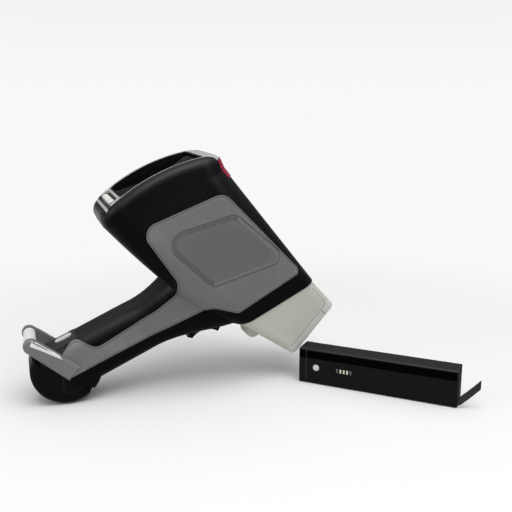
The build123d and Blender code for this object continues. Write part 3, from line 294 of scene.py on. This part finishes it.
moulded_grain = build_moulded_grain()
edge_highlight = build_edge_highlight()
bench_wear = build_bench_wear()


def placed_group(tree, group, **values):
    """Group node in a material, with its own values; an underscore stands for a space."""
    node = tree.nodes.new("ShaderNodeGroup")
    node.node_tree = group
    for label, value in values.items():
        node.inputs[label.replace("_", " ")].default_value = value
    return node


def finish_material(name, colour, roughness, grain_size=2600.0, grain_depth=0.00003, tone_depth=0.05,
                    edge_highlight_gain=1.15, metallic=0.0, coat=0.0, coat_roughness=0.2, specular=0.5,
                    sheen=0.0, dust=0.25, rubs=0.25):
    """Solid finish with moulded grain, a slow change of tone and gloss, a painted highlight on raised edges,
    dust and rubs.
    """
    material = bpy.data.materials.new(name)
    material.use_nodes = True
    tree = material.node_tree
    shader = tree.nodes["Principled BSDF"]
    shader.inputs["Metallic"].default_value = metallic
    shader.inputs["Coat Weight"].default_value = coat
    shader.inputs["Coat Roughness"].default_value = coat_roughness
    shader.inputs["Specular IOR Level"].default_value = specular
    shader.inputs["Sheen Weight"].default_value = sheen
    shader.inputs["Sheen Roughness"].default_value = SHEEN_ROUGHNESS
    grain = placed_group(tree, moulded_grain, Grain_Size=grain_size, Tone_Depth=tone_depth)
    edges = placed_group(tree, edge_highlight)
    wear = placed_group(tree, bench_wear, Dust=dust, Rubs=rubs)
    # Raised edges are painted lighter by the edge gain: a painted highlight.
    lightened = math_node(tree, "MULTIPLY", edges.outputs["Edge"], edge_highlight_gain - 1.0)
    edge_tone = math_node(tree, "ADD", lightened, 1.0)
    paint = tree.nodes.new("ShaderNodeVectorMath")
    paint.operation = "SCALE"
    paint.inputs[0].default_value = colour
    tree.links.new(math_node(tree, "MULTIPLY", grain.outputs["Tone"], edge_tone), paint.inputs["Scale"])
    dusted = tree.nodes.new("ShaderNodeMix")
    dusted.data_type = "RGBA"
    dusted.inputs["B"].default_value = DUST_GREY
    tree.links.new(wear.outputs["Dust"], dusted.inputs["Factor"])
    tree.links.new(paint.outputs[0], dusted.inputs["A"])
    tree.links.new(dusted.outputs["Result"], shader.inputs["Base Color"])
    duller = math_node(tree, "MULTIPLY", wear.outputs["Rubs"], RUB_GLOSS)
    worn = math_node(tree, "ADD", grain.outputs["Gloss"], duller)
    tree.links.new(math_node(tree, "ADD", worn, roughness), shader.inputs["Roughness"])
    bump = tree.nodes.new("ShaderNodeBump")
    bump.name = "grain_bump"
    bump.inputs["Strength"].default_value = BUMP_STRENGTH
    bump.inputs["Distance"].default_value = grain_depth
    height = math_node(tree, "SUBTRACT", grain.outputs["Height"], wear.outputs["Rubs"])
    tree.links.new(height, bump.inputs["Height"])
    tree.links.new(bump.outputs["Normal"], shader.inputs["Normal"])
    return material


def dress(material, *names):
    """Gives CAD nodes their finish."""
    for name in names:
        mesh = nodes[name].data
        mesh.materials.clear()
        mesh.materials.append(material)


shell_black = finish_material("shell_black", (0.0014, 0.0014, 0.0022), roughness=0.40, specular=0.34,
                              edge_highlight_gain=1.0, sheen=0.04, dust=0.15)
trigger_black = finish_material("trigger_black", (0.005, 0.005, 0.005), roughness=0.38, specular=0.2,
                                grain_size=3200.0, sheen=0.05)
dress(shell_black, "right_shell", "left_shell")
dress(trigger_black, "trigger")

# ------------------------------------------------------------------ screws, pins and springs
# Zinc-plated hexagon-socket screws, hardened pins and a music-wire torsion spring.
# They are turned or cold-headed steel with fine machining rings.
plated_steel = finish_material("plated_steel", (0.52, 0.52, 0.50), roughness=0.32, grain_size=5200.0,
                               metallic=1.0)
oxide_steel = finish_material("oxide_steel", (0.03, 0.03, 0.03), roughness=0.4, grain_size=5200.0,
                              metallic=0.8)
dress(plated_steel, "housing_screws", "trigger_pin", "trigger_spring", "window_screws")
dress(oxide_steel, "door_hinge_pin")

# ------------------------------------------------------------------ inside the housing
# Bay liner and switch are black moulded nylon, the contacts gold-plated bronze, the boards
# green glass-epoxy, and the measuring head cast and turned metal around a potted supply.
bay_nylon = finish_material("bay_nylon", (0.018, 0.018, 0.018), roughness=0.5)
contact_gold = finish_material("contact_gold", (0.78, 0.52, 0.16), roughness=0.28, metallic=1.0)
board_green = finish_material("board_green", (0.012, 0.11, 0.045), roughness=0.35, grain_size=900.0,
                              tone_depth=0.4)
cast_metal = finish_material("cast_metal", (0.52, 0.53, 0.54), roughness=0.42, grain_size=1500.0,
                             metallic=1.0)
turned_steel = finish_material("turned_steel", (0.45, 0.45, 0.45), roughness=0.3, grain_size=4000.0,
                               metallic=1.0)
potting = finish_material("potting", (0.02, 0.02, 0.026), roughness=0.45, grain_size=500.0)
pad_nickel = finish_material("pad_nickel", (0.16, 0.13, 0.08), roughness=0.4, metallic=0.8)
dress(bay_nylon, "battery_bay_liner", "trigger_switch")
dress(contact_gold, "battery_bay_contacts")
dress(pad_nickel, "battery_contact_pads")
dress(board_green, "processor_board", "key_board", "warning_led_board")
dress(cast_metal, "bulkhead", "filter_wheel", "display_module")
dress(turned_steel, "xray_tube", "xray_detector", "filter_wheel_motor", "battery_cells")
dress(potting, "high_voltage_supply")

# ------------------------------------------------------------------ side panels and plates
# Grey moulded covers run from the barrel down the grip and end in the strap arms, with a dark line of
# painted shade in the groove behind their lip. The plate let into each is a plain satin-painted metal sheet.
# Outlines, insets and lines are in mm on the upright analyzer; the crease's softness and fall in metres.
PANEL_CORNERS = (
    (-75.3, 20.4), (28.7, 14.2), (6.3, -49.5), (-15.5, -59.5), (-29.5, -96.0), (-49.6, -138.7),
    (-69.5, -183.0), (-86.5, -171.5), (-86.5, -152.0), (-67.2, -146.5), (-48.2, -92.0), (-45.0, -69.5),
    (-56.0, -61.0), (-109.5, -47.6),
)
PANEL_ROUNDS = (12.0, 5.0, 6.0, 14.0, 30.0, 40.0, 3.0, 3.0, 7.0, 9.0, 20.0, 6.0, 10.0, 11.0)
GROOVE_SHADE_INSET, GROOVE_SHADE_WIDE, GROOVE_SHADE_RISE = 1.15, 0.42, 0.06
PLATE_CORNERS = ((-85.6, -40.2), (-53.5, 9.4), (2.5, 10.3), (-31.4, -41.9))
PLATE_ROUNDS = (8.0, 7.0, 4.0, 5.0)
RECESS_OUT, STEP_SHADE_WIDE, STEP_SHADE_RISE, RECESS_TO_X, RECESS_TOP_X = 1.95, 2.9, 0.03, -30.0, -50.0
ARM_FROM_X, ARM_FROM_Z = -64.0, -160.0
CREASE_ACROSS = Vector((0.610, 0.0, 0.793))
CREASE_AT, CREASE_SOFT, CREASE_FALL = (-75.8, 129.2), 0.005, 0.0011
OUTLINE_STEP, LEAST_STEPS = 2.0, 4
BEAD_SECTION, RAY_START = ((-0.5, -0.2), (-0.38, 0.75), (0.0, 1.0), (0.38, 0.75), (0.5, -0.2)), 0.15
SIDES = (("right", Vector((0.0, 1.0, 0.0))), ("left", Vector((0.0, -1.0, 0.0))))


def rounded_loop(corners, rounds):
    """Closed outline with rounded corners, as points about OUTLINE_STEP apart."""
    outline = []
    count = len(corners)
    for index in range(count):
        here = Vector(corners[index])
        back = (Vector(corners[index - 1]) - here).normalized()
        ahead = (Vector(corners[(index + 1) % count]) - here).normalized()
        half = back.angle(ahead) / 2
        reach = rounds[index] / math.tan(half)
        centre = here + (back + ahead).normalized() * rounds[index] / math.sin(half)
        first, last = here + back * reach - centre, here + ahead * reach - centre
        turn = first.angle_signed(last)
        steps = max(LEAST_STEPS, int(abs(turn) * rounds[index] / OUTLINE_STEP) + 1)
        for step in range(steps + 1):
            angle = -turn * step / steps
            spun = Vector((first.x * math.cos(angle) - first.y * math.sin(angle),
                           first.x * math.sin(angle) + first.y * math.cos(angle)))
            outline.append(centre + spun)
    dense = []
    for index, point in enumerate(outline):
        onward = outline[(index + 1) % len(outline)]
        pieces = max(1, int((onward - point).length / OUTLINE_STEP))
        dense.extend(point.lerp(onward, step / pieces) for step in range(pieces))
    return dense


def inset_loop(outline, amount):
    """Closed outline moved in by amount."""
    count = len(outline)
    area = sum(outline[i].x * outline[(i + 1) % count].y - outline[(i + 1) % count].x * outline[i].y
               for i in range(count))
    sign = 1.0 if area > 0 else -1.0
    moved = []
    for index in range(count):
        along = (outline[(index + 1) % count] - outline[index - 1]).normalized()
        moved.append(outline[index] + Vector((-along.y, along.x)) * amount * sign)
    return moved


def skin_of(*names):
    """Search tree over the surfaces of CAD nodes."""
    corners, faces = [], []
    for name in names:
        mesh = nodes[name].data
        first = len(corners)
        corners.extend(vertex.co.copy() for vertex in mesh.vertices)
        faces.extend([first + index for index in face.vertices] for face in mesh.polygons)
    return BVHTree.FromPolygons(corners, faces)


def rest_path(points):
    """Outline points placed in the middle plane of the resting analyzer."""
    return [at_rest(x, 0.0, z) for x, z in points]


def laid_bead(name, path, widths, skin, toward, rise, material, body):
    """Low rounded bead laid on a skin along a path; toward is the way it is pressed on. Sizes in metres."""
    mesh = bmesh.new()
    rows = []
    depth = RAY_START
    for index, point in enumerate(path):
        before, after = path[max(index - 1, 0)], path[min(index + 1, len(path) - 1)]
        across = (after - before).cross(toward).normalized()
        row = []
        for offset, lift in BEAD_SECTION:
            start = point + across * offset * widths[index] - toward * RAY_START
            hit = skin.ray_cast(start, toward)
            if hit[0] is not None:
                depth = hit[3]
            row.append(mesh.verts.new(start + toward * (depth - rise * lift)))
        rows.append(row)
    for this_row, next_row in zip(rows, rows[1:]):
        for rail in range(len(BEAD_SECTION) - 1):
            mesh.faces.new((this_row[rail], this_row[rail + 1], next_row[rail + 1], next_row[rail]))
    mesh.faces.new(rows[0])
    mesh.faces.new(list(reversed(rows[-1])))
    bmesh.ops.recalc_face_normals(mesh, faces=mesh.faces)
    data = bpy.data.meshes.new(name)
    mesh.to_mesh(data)
    mesh.free()
    for face in data.polygons:
        face.use_smooth = True
    data.materials.append(material)
    piece = bpy.data.objects.new(name, data)
    scene.collection.objects.link(piece)
    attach(piece, body)


def projected(group, place, direction):
    """How far a place lies along a direction."""
    node = group.nodes.new("ShaderNodeVectorMath")
    node.operation = "DOT_PRODUCT"
    node.inputs[1].default_value = direction
    group.links.new(place, node.inputs[0])
    return node.outputs["Value"]


def build_soft_crease():
    """Height of the soft fold that crosses the panels from their rear corner to the trigger."""
    group, start, end = new_group("soft_crease", [("Fall", CREASE_FALL)], ["Height"])
    place = group.nodes.new("ShaderNodeTexCoord").outputs["Object"]
    across = projected(group, place, CREASE_ACROSS)
    level = (CREASE_AT[0] * CREASE_ACROSS.x + CREASE_AT[1] * CREASE_ACROSS.z) / 1000
    fold = smooth_range(group, across, level - CREASE_SOFT, level + CREASE_SOFT)
    group.links.new(math_node(group, "MULTIPLY", fold, start.outputs["Fall"]), end.inputs["Height"])
    return group


panel_grey = finish_material("panel_grey", (0.163, 0.166, 0.165), roughness=0.42, grain_size=3000.0,
                             tone_depth=0.03, edge_highlight_gain=1.25, specular=0.4)
crease = placed_group(panel_grey.node_tree, build_soft_crease())
crease_bump = panel_grey.node_tree.nodes.new("ShaderNodeBump")
crease_bump.inputs["Distance"].default_value = 1.0
panel_grey.node_tree.links.new(crease.outputs["Height"], crease_bump.inputs["Height"])
panel_grey.node_tree.links.new(crease_bump.outputs["Normal"],
                               panel_grey.node_tree.nodes["grain_bump"].inputs["Normal"])
plate_grey = finish_material("plate_grey", (0.175, 0.177, 0.178), roughness=0.33, grain_size=4200.0,
                             metallic=0.25, tone_depth=0.03)
# Dark line: painted shade in the groove behind each panel's lip, and the dark parting slits on the nose.
groove_shade_and_slit_line = finish_material("groove_shade_and_slit_line", (0.012, 0.012, 0.013), roughness=0.6, grain_size=1800.0, dust=0.0)
dress(panel_grey, "right_side_panel", "left_side_panel")
dress(plate_grey, "right_badge_plate", "left_badge_plate")

# The painted groove shade runs round the panel and stops short of the arm's end.
panel_edge = inset_loop(rounded_loop(PANEL_CORNERS, PANEL_ROUNDS), GROOVE_SHADE_INSET)
in_arm = [point.x < ARM_FROM_X and point.y < ARM_FROM_Z for point in panel_edge]
turn_at = max(index for index in range(len(panel_edge)) if in_arm[index]) + 1
open_edge = [panel_edge[(turn_at + step) % len(panel_edge)] for step in range(len(panel_edge))]
open_edge = [point for point in open_edge if not (point.x < ARM_FROM_X and point.y < ARM_FROM_Z)]

# A darker strip on the panel is painted shade on the step round the plate, on three sides; the fourth side,
# in the light, has none.
plate_step_shade = finish_material("plate_step_shade", (0.108, 0.110, 0.110), roughness=0.5, grain_size=3000.0,
                               dust=0.0)
recess_loop = inset_loop(rounded_loop(PLATE_CORNERS, PLATE_ROUNDS), -RECESS_OUT)
start_at = max(index for index, point in enumerate(recess_loop) if point.x > RECESS_TO_X) + 1
step_shade_edge = [recess_loop[(start_at + step) % len(recess_loop)] for step in range(len(recess_loop))]
step_shade_edge = [point for point in step_shade_edge
               if point.x < RECESS_TO_X and (point.x < RECESS_TOP_X or point.y < 0.0)]
step_shade_path, groove_shade_path = rest_path(step_shade_edge), rest_path(open_edge)
for side_name, inward in SIDES:
    panel_skin = skin_of(side_name + "_side_panel")
    laid_bead(side_name + "_plate_step_shade", step_shade_path, [STEP_SHADE_WIDE / 1000] * len(step_shade_path), panel_skin,
              inward, STEP_SHADE_RISE / 1000, plate_step_shade, "housing")
    laid_bead(side_name + "_panel_groove_shade_line", groove_shade_path, [GROOVE_SHADE_WIDE / 1000] * len(groove_shade_path), panel_skin,
              inward, GROOVE_SHADE_RISE / 1000, groove_shade_and_slit_line, "housing")

# ------------------------------------------------------------------ nose
# Pale impact-grade plastic, a little warmer than the panels, in two mouldings with a dark
# seal in the slanted joint. The window frame is bare aluminium over an amber film.
CAP_JOINT_X, CAP_JOINT_FOOT, CAP_JOINT_STEPS = 72.0, -43.5, 14
RIM_START, RIM_TURN_X, RIM_TURN_Z, RIM_ROUND, RIM_STEPS = (50.0, 9.6), 66.0, 2.3, 6.0, 6
RIM_WIDE, RIM_RISE = 0.0006, 0.00005
SLIT_PLACES, SLIT_WIDE, SLIT_RISE = ((73.2, -0.5), (75.2, -0.5), (77.2, -0.5), (79.0, -0.5)), 0.0007, 0.00006
nose_pale = finish_material("nose_pale", (0.535, 0.537, 0.48), roughness=0.4, grain_size=3000.0,
                            tone_depth=0.05, rubs=0.6)
cap_pale = finish_material("cap_pale", (0.61, 0.612, 0.575), roughness=0.36, grain_size=3000.0,
                           tone_depth=0.05, rubs=0.6)
joint_line = finish_material("joint_line", (0.20, 0.20, 0.18), roughness=0.5, grain_size=1800.0, dust=0.0)
seal_rubber = finish_material("seal_rubber", (0.002, 0.002, 0.002), roughness=0.6, grain_size=1500.0,
                              specular=0.15)
frame_metal = finish_material("frame_metal", (0.6, 0.6, 0.6), roughness=0.35, grain_size=3500.0,
                              metallic=1.0)
window_amber = finish_material("window_amber", (0.32, 0.14, 0.02), roughness=0.15, grain_size=600.0)
dress(nose_pale, "nose_housing")
dress(cap_pale, "nose_front_cap")
dress(seal_rubber, "nose_gasket", "display_gasket")
dress(frame_metal, "window_frame")
dress(window_amber, "window_film")

nose_skin = skin_of("nose_housing", "nose_front_cap")
rim_corners = [Vector(RIM_START), Vector((RIM_TURN_X, RIM_TURN_Z + RIM_ROUND))]
for step in range(RIM_STEPS + 1):
    angle = step * math.pi / (2 * RIM_STEPS)
    rim_corners.append(Vector((RIM_TURN_X + RIM_ROUND * math.sin(angle),
                               RIM_TURN_Z + RIM_ROUND * math.cos(angle))))
for step in range(1, CAP_JOINT_STEPS + 1):
    fall = step * (RIM_TURN_Z - CAP_JOINT_FOOT) / CAP_JOINT_STEPS
    rim_corners.append(Vector((CAP_JOINT_X, RIM_TURN_Z - fall)))
rim_path, slit_path = rest_path(rim_corners), rest_path(SLIT_PLACES)
for side_name, inward in SIDES:
    laid_bead(side_name + "_nose_rim_line", rim_path, [RIM_WIDE] * len(rim_path), nose_skin, inward, RIM_RISE,
              joint_line, "housing")
    laid_bead(side_name + "_nose_parting_slit", slit_path, [SLIT_WIDE] * len(slit_path), nose_skin, inward,
              SLIT_RISE, groove_shade_and_slit_line, "housing")

# ------------------------------------------------------------------ display head
# A silver-grey moulded bezel holds the black cover glass; three ribbed silicone keys stand in
# the strip below it. The glass is bonded flush and printed black behind.
bezel_silver = finish_material("bezel_silver", (0.46, 0.457, 0.45), roughness=0.36, grain_size=3200.0,
                               tone_depth=0.03, edge_highlight_gain=1.3)
cover_glass = finish_material("cover_glass", (0.0012, 0.0012, 0.0016), roughness=0.06, grain_size=900.0,
                              grain_depth=0.000001, specular=0.15, edge_highlight_gain=1.0, dust=0.10, rubs=0.15)
key_silicone = finish_material("key_silicone", (0.72, 0.72, 0.70), roughness=0.45, grain_size=4200.0,
                               dust=0.0)
SCREEN_LEAN = math.radians(65.7)
SCREEN_UP = Vector((math.sin(SCREEN_LEAN), 0.0, math.cos(SCREEN_LEAN)))
SCREEN_OUT = Vector((-math.cos(SCREEN_LEAN), 0.0, math.sin(SCREEN_LEAN)))
SCREEN_MIDDLE = at_rest(-121.0, 0.0, -4.0)
TROUGH_UP, TROUGH_HALF, TROUGH_DEPTH, TROUGH_SHADE_GREY = -0.043, 0.0057, -0.0021, (0.035, 0.035, 0.037, 1.0)


def build_key_trough():
    """Mask of the sunk strip in which the keys stand, where the bezel gets painted shade."""
    group, start, end = new_group("key_trough", [("Half Length", TROUGH_HALF)], ["Trough"])
    place = group.nodes.new("ShaderNodeTexCoord").outputs["Object"]
    up, out = [math_node(group, "SUBTRACT", projected(group, place, direction), SCREEN_MIDDLE.dot(direction))
               for direction in (SCREEN_UP, SCREEN_OUT)]
    apart = math_node(group, "ABSOLUTE", math_node(group, "SUBTRACT", up, TROUGH_UP))
    within = math_node(group, "LESS_THAN", apart, start.outputs["Half Length"])
    sunk = math_node(group, "LESS_THAN", out, TROUGH_DEPTH)
    group.links.new(math_node(group, "MULTIPLY", within, sunk), end.inputs["Trough"])
    return group


bezel_tree = bezel_silver.node_tree
trough = placed_group(bezel_tree, build_key_trough())
# The sunk key strip is painted darker on the bezel: painted shade.
trough_shade_paint = bezel_tree.nodes.new("ShaderNodeMix")
trough_shade_paint.data_type = "RGBA"
trough_shade_paint.inputs["B"].default_value = TROUGH_SHADE_GREY
bezel_tree.links.new(trough.outputs["Trough"], trough_shade_paint.inputs["Factor"])
bezel_shader = bezel_tree.nodes["Principled BSDF"]
bezel_tree.links.new(bezel_shader.inputs["Base Color"].links[0].from_socket, trough_shade_paint.inputs["A"])
bezel_tree.links.new(trough_shade_paint.outputs["Result"], bezel_shader.inputs["Base Color"])
dress(bezel_silver, "display_bezel")
dress(cover_glass, "display_glass")
dress(key_silicone, "power_key", "select_key", "back_key")

# ------------------------------------------------------------------ warning light
# Red polycarbonate band that wraps the top edge behind the bezel, polished outside and
# frosted inside so that its lamps glow evenly.
LENS_RED = (0.50, 0.030, 0.075)
lens_red = finish_material("lens_red", LENS_RED, roughness=0.2, grain_size=700.0, grain_depth=0.00001,
                           coat=0.6, coat_roughness=0.08, edge_highlight_gain=1.0, dust=0.0, tone_depth=0.12)
lens_red.node_tree.nodes["Principled BSDF"].inputs["Transmission Weight"].default_value = 0.3
lens_red.node_tree.nodes["Principled BSDF"].inputs["IOR"].default_value = 1.58
dress(lens_red, "xray_warning_lens")

# ------------------------------------------------------------------ butt of the grip
# The round battery door wears a thick black rubber boot that takes the knocks. Above it the
# grip's back has a dimpled rubber pad with an oval release button, and a pale strap bar. A tapered
# strip of the bar's pale paint on each arm's upper edge is a painted highlight of the arm's bevel.
boot_rubber = finish_material("boot_rubber", (0.003, 0.003, 0.0028), roughness=0.36, grain_size=1400.0,
                              grain_depth=0.00004, specular=0.4, dust=0.15)
pad_rubber = finish_material("pad_rubber", (0.022, 0.022, 0.022), roughness=0.55, grain_size=520.0,
                             grain_depth=0.0004, tone_depth=0.5, specular=0.35)
button_pale = finish_material("button_pale", (0.62, 0.62, 0.6), roughness=0.35)
bar_pale = finish_material("bar_pale", (0.78, 0.78, 0.765), roughness=0.34, tone_depth=0.03)
dress(boot_rubber, "battery_door")
dress(pad_rubber, "grip_back_panel")
dress(button_pale, "door_release_button", "battery_gauge_button")
dress(bar_pale, "strap_bar")

# Places in mm of the painted bevel highlight with its width there, and the corners of the boot's welted edge,
# whose raised bead is painted lighter than the boot as a painted highlight.
BEVEL_HIGHLIGHT_STATIONS = ((-84.5, -170.4, 0.3), (-88.0, -170.2, 2.2), (-93.0, -170.8, 3.2), (-99.0, -171.5, 3.9),
                  (-105.0, -172.4, 4.6), (-110.0, -173.4, 5.2), (-113.4, -174.2, 5.0))
BEVEL_HIGHLIGHT_RISE = 0.0003
WELT_PLACES = ((-73.1, -183.7), (-70.0, -187.0), (-66.9, -190.2), (-63.4, -193.2), (-59.6, -193.4),
               (-57.0, -191.8), (-55.0, -188.5), (-54.3, -185.2))
WELT_WIDE, WELT_RISE = 0.0005, 0.00012
# The welt is a real raised bead, painted lighter than the boot as a painted highlight.
boot_welt_highlight = finish_material("boot_welt_highlight", (0.02, 0.02, 0.02), roughness=0.28, grain_size=1400.0, specular=0.5)
bevel_highlight_path = rest_path((x, z) for x, z, width in BEVEL_HIGHLIGHT_STATIONS)
bevel_highlight_widths = [width / 1000 for x, z, width in BEVEL_HIGHLIGHT_STATIONS]
welt_path = rest_path(WELT_PLACES)
for side_name, inward in SIDES:
    laid_bead(side_name + "_arm_bevel_highlight", bevel_highlight_path, bevel_highlight_widths, skin_of(side_name + "_side_panel"), inward,
              BEVEL_HIGHLIGHT_RISE, bar_pale, "housing")
    laid_bead(side_name + "_boot_welt_highlight", welt_path, [WELT_WIDE] * len(welt_path), skin_of("battery_door"),
              inward, WELT_RISE, boot_welt_highlight, "battery_door")

# ------------------------------------------------------------------ battery pack
# Black heat-welded case with a moulded end cap, a cream button that lights the charge
# bars behind a smoked window, and a folded film ribbon to draw the pack out.
PACK_TURN = math.radians(-43.3)
pack_along = Vector((math.cos(PACK_TURN), math.sin(PACK_TURN), 0.0))
pack_inward = Vector((-math.sin(PACK_TURN), math.cos(PACK_TURN), 0.0))
PACK_LENGTH, PACK_THICK, CAP_SEAM = 0.141, 0.020, 0.007
LABEL_BAND_LOW, LABEL_BAND_HIGH, LABEL_MARGIN, LABEL_STEPS, LABEL_RISE = 0.0235, 0.0316, 0.0012, 40, 0.00005
HAIR_FOOT, HAIR_TALL, HAIR_STEPS, HAIR_WIDE, HAIR_RISE = 0.0015, 0.0295, 12, 0.00028, 0.00006
CHARGE_BARS, CHARGE_PITCH, CHARGE_WIDTH, CHARGE_HIGH = 5, 0.0031, 0.0017, 0.0036
CHARGE_STEPS, CHARGE_RISE = 4, 0.00008
pack_black = finish_material("pack_black", (0.0055, 0.0055, 0.006), roughness=0.36, grain_size=2000.0,
                             specular=0.4)
cap_black = finish_material("cap_black", (0.006, 0.006, 0.006), roughness=0.4, grain_size=2600.0,
                            specular=0.4)
band_black = finish_material("band_black", (0.0008, 0.0008, 0.0008), roughness=0.2, grain_size=2000.0,
                             specular=0.1)
hair_grey = finish_material("hair_grey", (0.09, 0.09, 0.09), roughness=0.5, dust=0.0)
smoked = finish_material("smoked_window", (0.006, 0.006, 0.006), roughness=0.08, specular=0.4)
ribbon_film = finish_material("ribbon_film", (0.03, 0.03, 0.031), roughness=0.24, grain_size=500.0,
                              grain_depth=0.0002, tone_depth=0.9)
charge_lit = finish_material("charge_lit", (0.66, 0.64, 0.50), roughness=0.4, dust=0.0)
charge_dim = finish_material("charge_dim", (0.12, 0.12, 0.11), roughness=0.4, dust=0.0)
dress(pack_black, "battery_case")
dress(cap_black, "battery_end_cap")
dress(smoked, "battery_gauge_window")

# The three middle bars of the gauge are lit.
window_low, window_high = (Vector(corner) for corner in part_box("battery_gauge_window"))
window_middle = (window_low + window_high) / 2
for bar in range(CHARGE_BARS):
    offset = (bar - (CHARGE_BARS - 1) / 2) * CHARGE_PITCH
    lit = 0 < bar < CHARGE_BARS - 1
    bar_centre = window_middle + pack_along * offset
    bar_path = [bar_centre + Vector((0.0, 0.0, (step / CHARGE_STEPS - 0.5) * CHARGE_HIGH))
                for step in range(CHARGE_STEPS + 1)]
    laid_bead("charge_bar_" + str(bar + 1), bar_path, [CHARGE_WIDTH] * len(bar_path),
              skin_of("battery_gauge_window"), pack_inward, CHARGE_RISE, charge_lit if lit else charge_dim,
              "battery_pack")

# A glossy black label band runs along the case, and a hairline marks the end cap's seam.
case_low, case_high = (Vector(corner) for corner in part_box("battery_case"))
pack_skin = skin_of("battery_case", "battery_end_cap")
near_end = Vector((case_low.x + case_high.x, case_low.y + case_high.y, 0.0)) / 2
near_end -= pack_along * (PACK_LENGTH + CAP_SEAM) / 2
band_middle = (LABEL_BAND_LOW + LABEL_BAND_HIGH) / 2
band_path = [near_end + pack_along * (LABEL_MARGIN + (PACK_LENGTH - 2 * LABEL_MARGIN) * step / LABEL_STEPS)
             + Vector((0.0, 0.0, band_middle)) for step in range(LABEL_STEPS + 1)]
laid_bead("pack_label_band", band_path, [LABEL_BAND_HIGH - LABEL_BAND_LOW] * len(band_path), pack_skin,
          pack_inward, LABEL_RISE, band_black, "battery_pack")
hair_path = [near_end + pack_along * CAP_SEAM + Vector((0.0, 0.0, HAIR_FOOT + HAIR_TALL * step / HAIR_STEPS))
             for step in range(HAIR_STEPS + 1)]
laid_bead("pack_cap_hairline", hair_path, [HAIR_WIDE] * len(hair_path), pack_skin, pack_inward, HAIR_RISE,
          hair_grey, "battery_pack")

# The ribbon leaves the case under its far end, widens to its full width and curls up.
RIBBON_RUN = ((-0.004, 0.0006), (0.0, 0.0012), (0.003, 0.0030), (0.0075, 0.0075), (0.0125, 0.0130),
              (0.0180, 0.0192))
RIBBON_WIDE, RIBBON_THICK, RIBBON_IN = 0.0082, 0.0004, 0.0015
RIBBON_ROOT_SHARE, RIBBON_FIRST_SHARE, RIBBON_SHARE_STEP = 0.35, 0.5, 0.25
ribbon_root = near_end + pack_along * PACK_LENGTH - pack_inward * (PACK_THICK / 2 - RIBBON_IN)
ribbon_mesh = bmesh.new()
ribbon_rows = []
for index, (run, high) in enumerate(RIBBON_RUN):
    foot = ribbon_root + pack_along * run + Vector((0.0, 0.0, high))
    share = RIBBON_ROOT_SHARE if index == 0 else min(1.0, RIBBON_FIRST_SHARE + RIBBON_SHARE_STEP * index)
    wide = RIBBON_WIDE * share
    corners = [foot + Vector((0.0, 0.0, lift)) + pack_inward * thick
               for lift, thick in ((0.0, 0.0), (wide, 0.0), (wide, RIBBON_THICK), (0.0, RIBBON_THICK))]
    ribbon_rows.append([ribbon_mesh.verts.new(corner) for corner in corners])
for this_row, next_row in zip(ribbon_rows, ribbon_rows[1:]):
    for rail in range(len(this_row)):
        onward = (rail + 1) % len(this_row)
        ribbon_mesh.faces.new((this_row[rail], this_row[onward], next_row[onward], next_row[rail]))
ribbon_mesh.faces.new(ribbon_rows[0])
ribbon_mesh.faces.new(list(reversed(ribbon_rows[-1])))
bmesh.ops.recalc_face_normals(ribbon_mesh, faces=ribbon_mesh.faces)
ribbon_data = bpy.data.meshes.new("pull_ribbon")
ribbon_mesh.to_mesh(ribbon_data)
ribbon_mesh.free()
ribbon_data.materials.append(ribbon_film)
pull_ribbon = bpy.data.objects.new("pull_ribbon", ribbon_data)
scene.collection.objects.link(pull_ribbon)
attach(pull_ribbon, "battery_pack")
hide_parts("battery_pull_tab")
